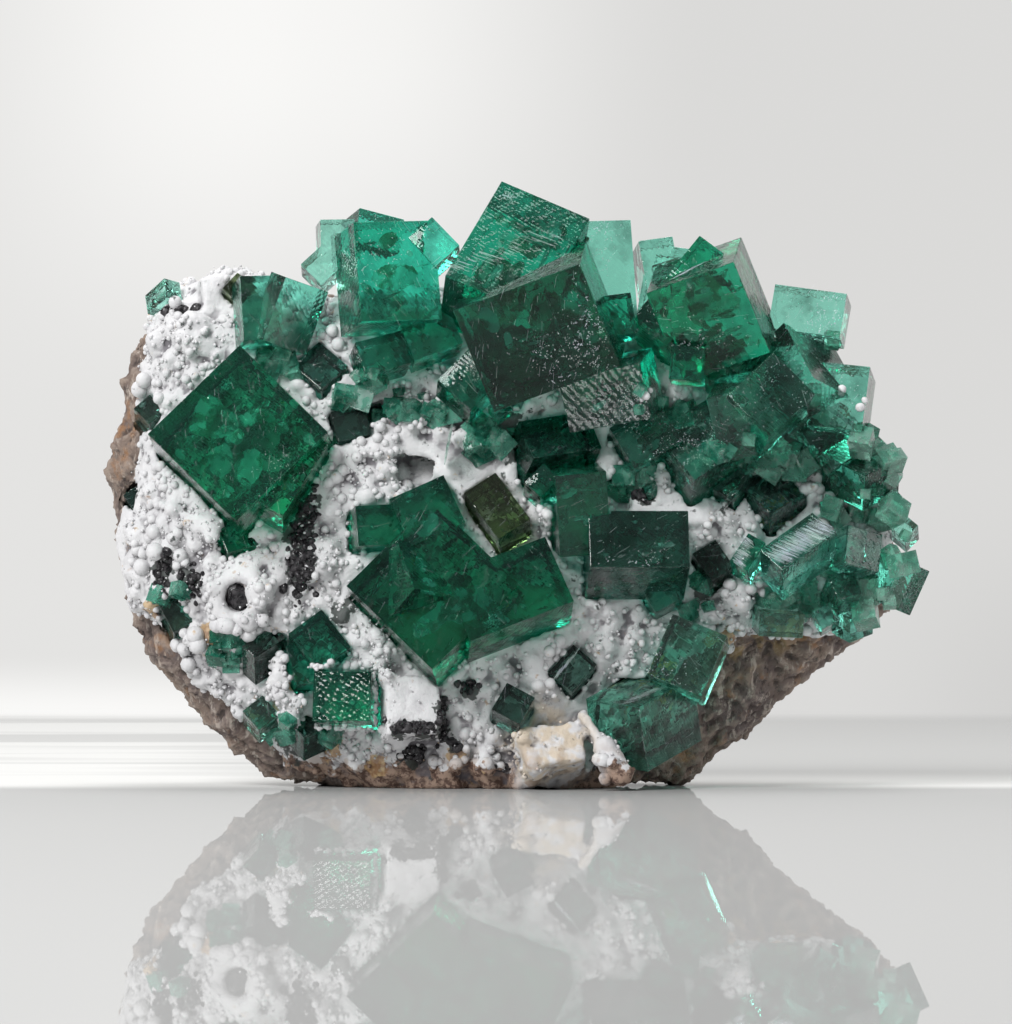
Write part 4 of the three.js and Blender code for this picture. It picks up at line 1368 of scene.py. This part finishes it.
def backdrop_light(n):
    """Light of the backdrop: brighter in the upper middle and in a band at the lower left."""
    place = n.add("ShaderNodeSeparateXYZ", Vector=n.place)
    away = n.math("ADD", place.outputs["Y"], bpy.context.scene.fluorite_stage.away)
    height = n.math("SUBTRACT", place.outputs["Z"], bpy.context.scene.fluorite_stage.height)
    across, up = n.math("DIVIDE", place.outputs["X"], away), n.math("DIVIDE", height, away)
    left = n.span(across, 0.0, -0.05, 0.0, 0.07)
    glow = n.math("MULTIPLY", n.span(across, -0.08, -0.028), n.span(across, 0.025, -0.018))
    glow = n.math("MULTIPLY", n.math("MULTIPLY", glow, n.span(up, 0.006, 0.056)), 0.19)
    band = n.math("MULTIPLY", n.span(up, -0.017, -0.0246), n.span(across, -0.006, -0.037, 0.0, 0.18))
    dim = n.math("MULTIPLY", n.span(across, 0.037, 0.068), n.span(up, 0.006, -0.0246, 0.0, 0.07))
    light = n.math("ADD", n.math("ADD", left, glow), n.math("SUBTRACT", band, dim))
    emission = n.add("ShaderNodeEmission", Color=(1.0, 0.995, 0.98, 1.0))
    n.put(emission.inputs["Strength"], n.math("ADD", light, 0.705))
    return emission.outputs[0]


def floor_material():
    """Polished pale floor with a pale mirror image, and painted light: lighter streaks far back at the left,
    a lighter far part and a light band across the floor near the specimen. Its far part shines as the
    backdrop does.
    """
    n = Nodes("pale_floor")
    place = n.add("ShaderNodeSeparateXYZ", Vector=n.place)
    # Painted light: lighter streaks far back at the left, and a light band across the floor near the
    # specimen.
    left = n.span(place.outputs["X"], -0.015, -0.07, 0.0, 1.0)
    far = n.span(place.outputs["Y"], -0.01, 0.06, 0.0, 1.0)
    streaks = n.add("ShaderNodeMapping", Vector=n.place, Scale=(3.0, 22.0, 1.0)).outputs["Vector"]
    streaks = n.span(n.noise(1.0, 3, 0.6, 0.4, streaks), 0.35, 0.6, 0.25, 1.0)
    painted_light = n.math("MULTIPLY", n.math("MULTIPLY", left, far), streaks)
    near_side = n.span(place.outputs["Y"], -0.02, 0.0)
    painted_light_band = n.math("MULTIPLY", near_side, n.span(place.outputs["Y"], 0.07, 0.01))
    painted_light_band = n.math("ADD", n.math("MULTIPLY", painted_light_band, 0.9), n.math("MULTIPLY", far, 0.15))
    painted_light = n.math("ADD", painted_light, painted_light_band)
    diffuse = n.add("ShaderNodeBsdfDiffuse", Color=n.mix(painted_light, *FLOOR_SHADES))
    gloss = n.add("ShaderNodeBsdfGlossy", Color=(0.97, 0.97, 0.97, 1.0), Roughness=0.006)
    polished = n.mix_shaders(FLOOR_GLOSS, diffuse.outputs[0], gloss.outputs[0])
    shining = n.mix_shaders(n.span(place.outputs["Y"], 0.36, 0.44), polished, backdrop_light(n))
    n.tree.links.new(shining, n.out.inputs["Surface"])
    n.material.cycles.emission_sampling = "NONE"
    return n.material


def wall_material():
    """Pale wall that shines softly."""
    n = Nodes("pale_wall")
    n.tree.links.new(backdrop_light(n), n.out.inputs["Surface"])
    n.material.cycles.emission_sampling = "NONE"
    return n.material


class FLUORITE_OT_stage(bpy.types.Operator):
    """Sets the floor, the wall, the lamps and the camera"""

    bl_idname = "fluorite.stage"
    bl_label = "Stage"

    def execute(self, context):
        sizes = context.scene.fluorite_stage
        wide, back, front, high = 3.2, 1.4, -1.6, 3.2
        floor = [(-wide, front, 0), (wide, front, 0), (wide, back, 0), (-wide, back, 0)]
        wall = [(-wide, back, 0), (wide, back, 0), (wide, back, high), (-wide, back, high)]
        stage_plane("floor", floor, floor_material())
        stage_plane("wall", wall, wall_material())
        lamp("key", sizes.key, 0.55, KEY_PLACE, LAMP_TARGET)
        for name, power, size, place in LAMPS:
            lamp(name, power, size, place, LAMP_TARGET)
        world = bpy.data.worlds.new("studio")
        world.use_nodes = True
        background = world.node_tree.nodes["Background"]
        background.inputs["Color"].default_value = (0.95, 0.97, 1.0, 1.0)
        background.inputs["Strength"].default_value = WORLD_LIGHT
        context.scene.world = world
        context.scene.view_settings.view_transform = "Standard"
        for name, count in BOUNCES.items():
            setattr(context.scene.cycles, name, count)
        data = bpy.data.cameras.new("camera")
        data.lens = sizes.lens
        data.sensor_width = 36.0
        data.clip_end = 10.0
        camera = bpy.data.objects.new("camera", data)
        context.scene.collection.objects.link(camera)
        camera.location = (sizes.side, -sizes.away, sizes.height)
        camera.rotation_euler = (math.radians(90), 0, 0)
        context.scene.camera = camera
        return {"FINISHED"}


class FLUORITE_PT_panel(bpy.types.Panel):
    """Lists the steps that make the specimen"""

    bl_label = "Fluorite specimen"
    bl_idname = "FLUORITE_PT_panel"
    bl_space_type = "VIEW_3D"
    bl_region_type = "UI"
    bl_category = "Fluorite"

    def draw(self, context):
        for group in (context.scene.fluorite_crystals, context.scene.fluorite_rock,
                      context.scene.fluorite_crust, context.scene.fluorite_stage):
            for name in group.__annotations__:
                self.layout.prop(group, name)
        for step in STEPS:
            self.layout.operator(step.bl_idname)


STEPS = (
    FLUORITE_OT_rock, FLUORITE_OT_crust, FLUORITE_OT_globules, FLUORITE_OT_black_grains,
    FLUORITE_OT_crystals, FLUORITE_OT_roots, FLUORITE_OT_veils, FLUORITE_OT_small_crystals,
    FLUORITE_OT_marks, FLUORITE_OT_stage,
)
GROUPS = {
    "fluorite_crystals": CrystalSizes,
    "fluorite_rock": RockSizes,
    "fluorite_crust": CrustSizes,
    "fluorite_stage": StageSizes,
}


def register():
    """Adds the property groups, the steps and the panel."""
    for cls in (*GROUPS.values(), *STEPS, FLUORITE_PT_panel):
        bpy.utils.register_class(cls)
    for name, group in GROUPS.items():
        setattr(bpy.types.Scene, name, PointerProperty(type=group))


def unregister():
    """Takes them away again."""
    for name in GROUPS:
        delattr(bpy.types.Scene, name)
    for cls in reversed((*GROUPS.values(), *STEPS, FLUORITE_PT_panel)):
        bpy.utils.unregister_class(cls)


def main():
    """Makes the whole specimen and its stage."""
    register()
    bpy.ops.fluorite.rock()
    bpy.ops.fluorite.crust()
    bpy.ops.fluorite.globules()
    bpy.ops.fluorite.black_grains()
    bpy.ops.fluorite.crystals()
    bpy.ops.fluorite.roots()
    bpy.ops.fluorite.veils()
    bpy.ops.fluorite.small_crystals()
    bpy.ops.fluorite.marks()
    bpy.ops.fluorite.stage()


if __name__ == "__main__":
    main()
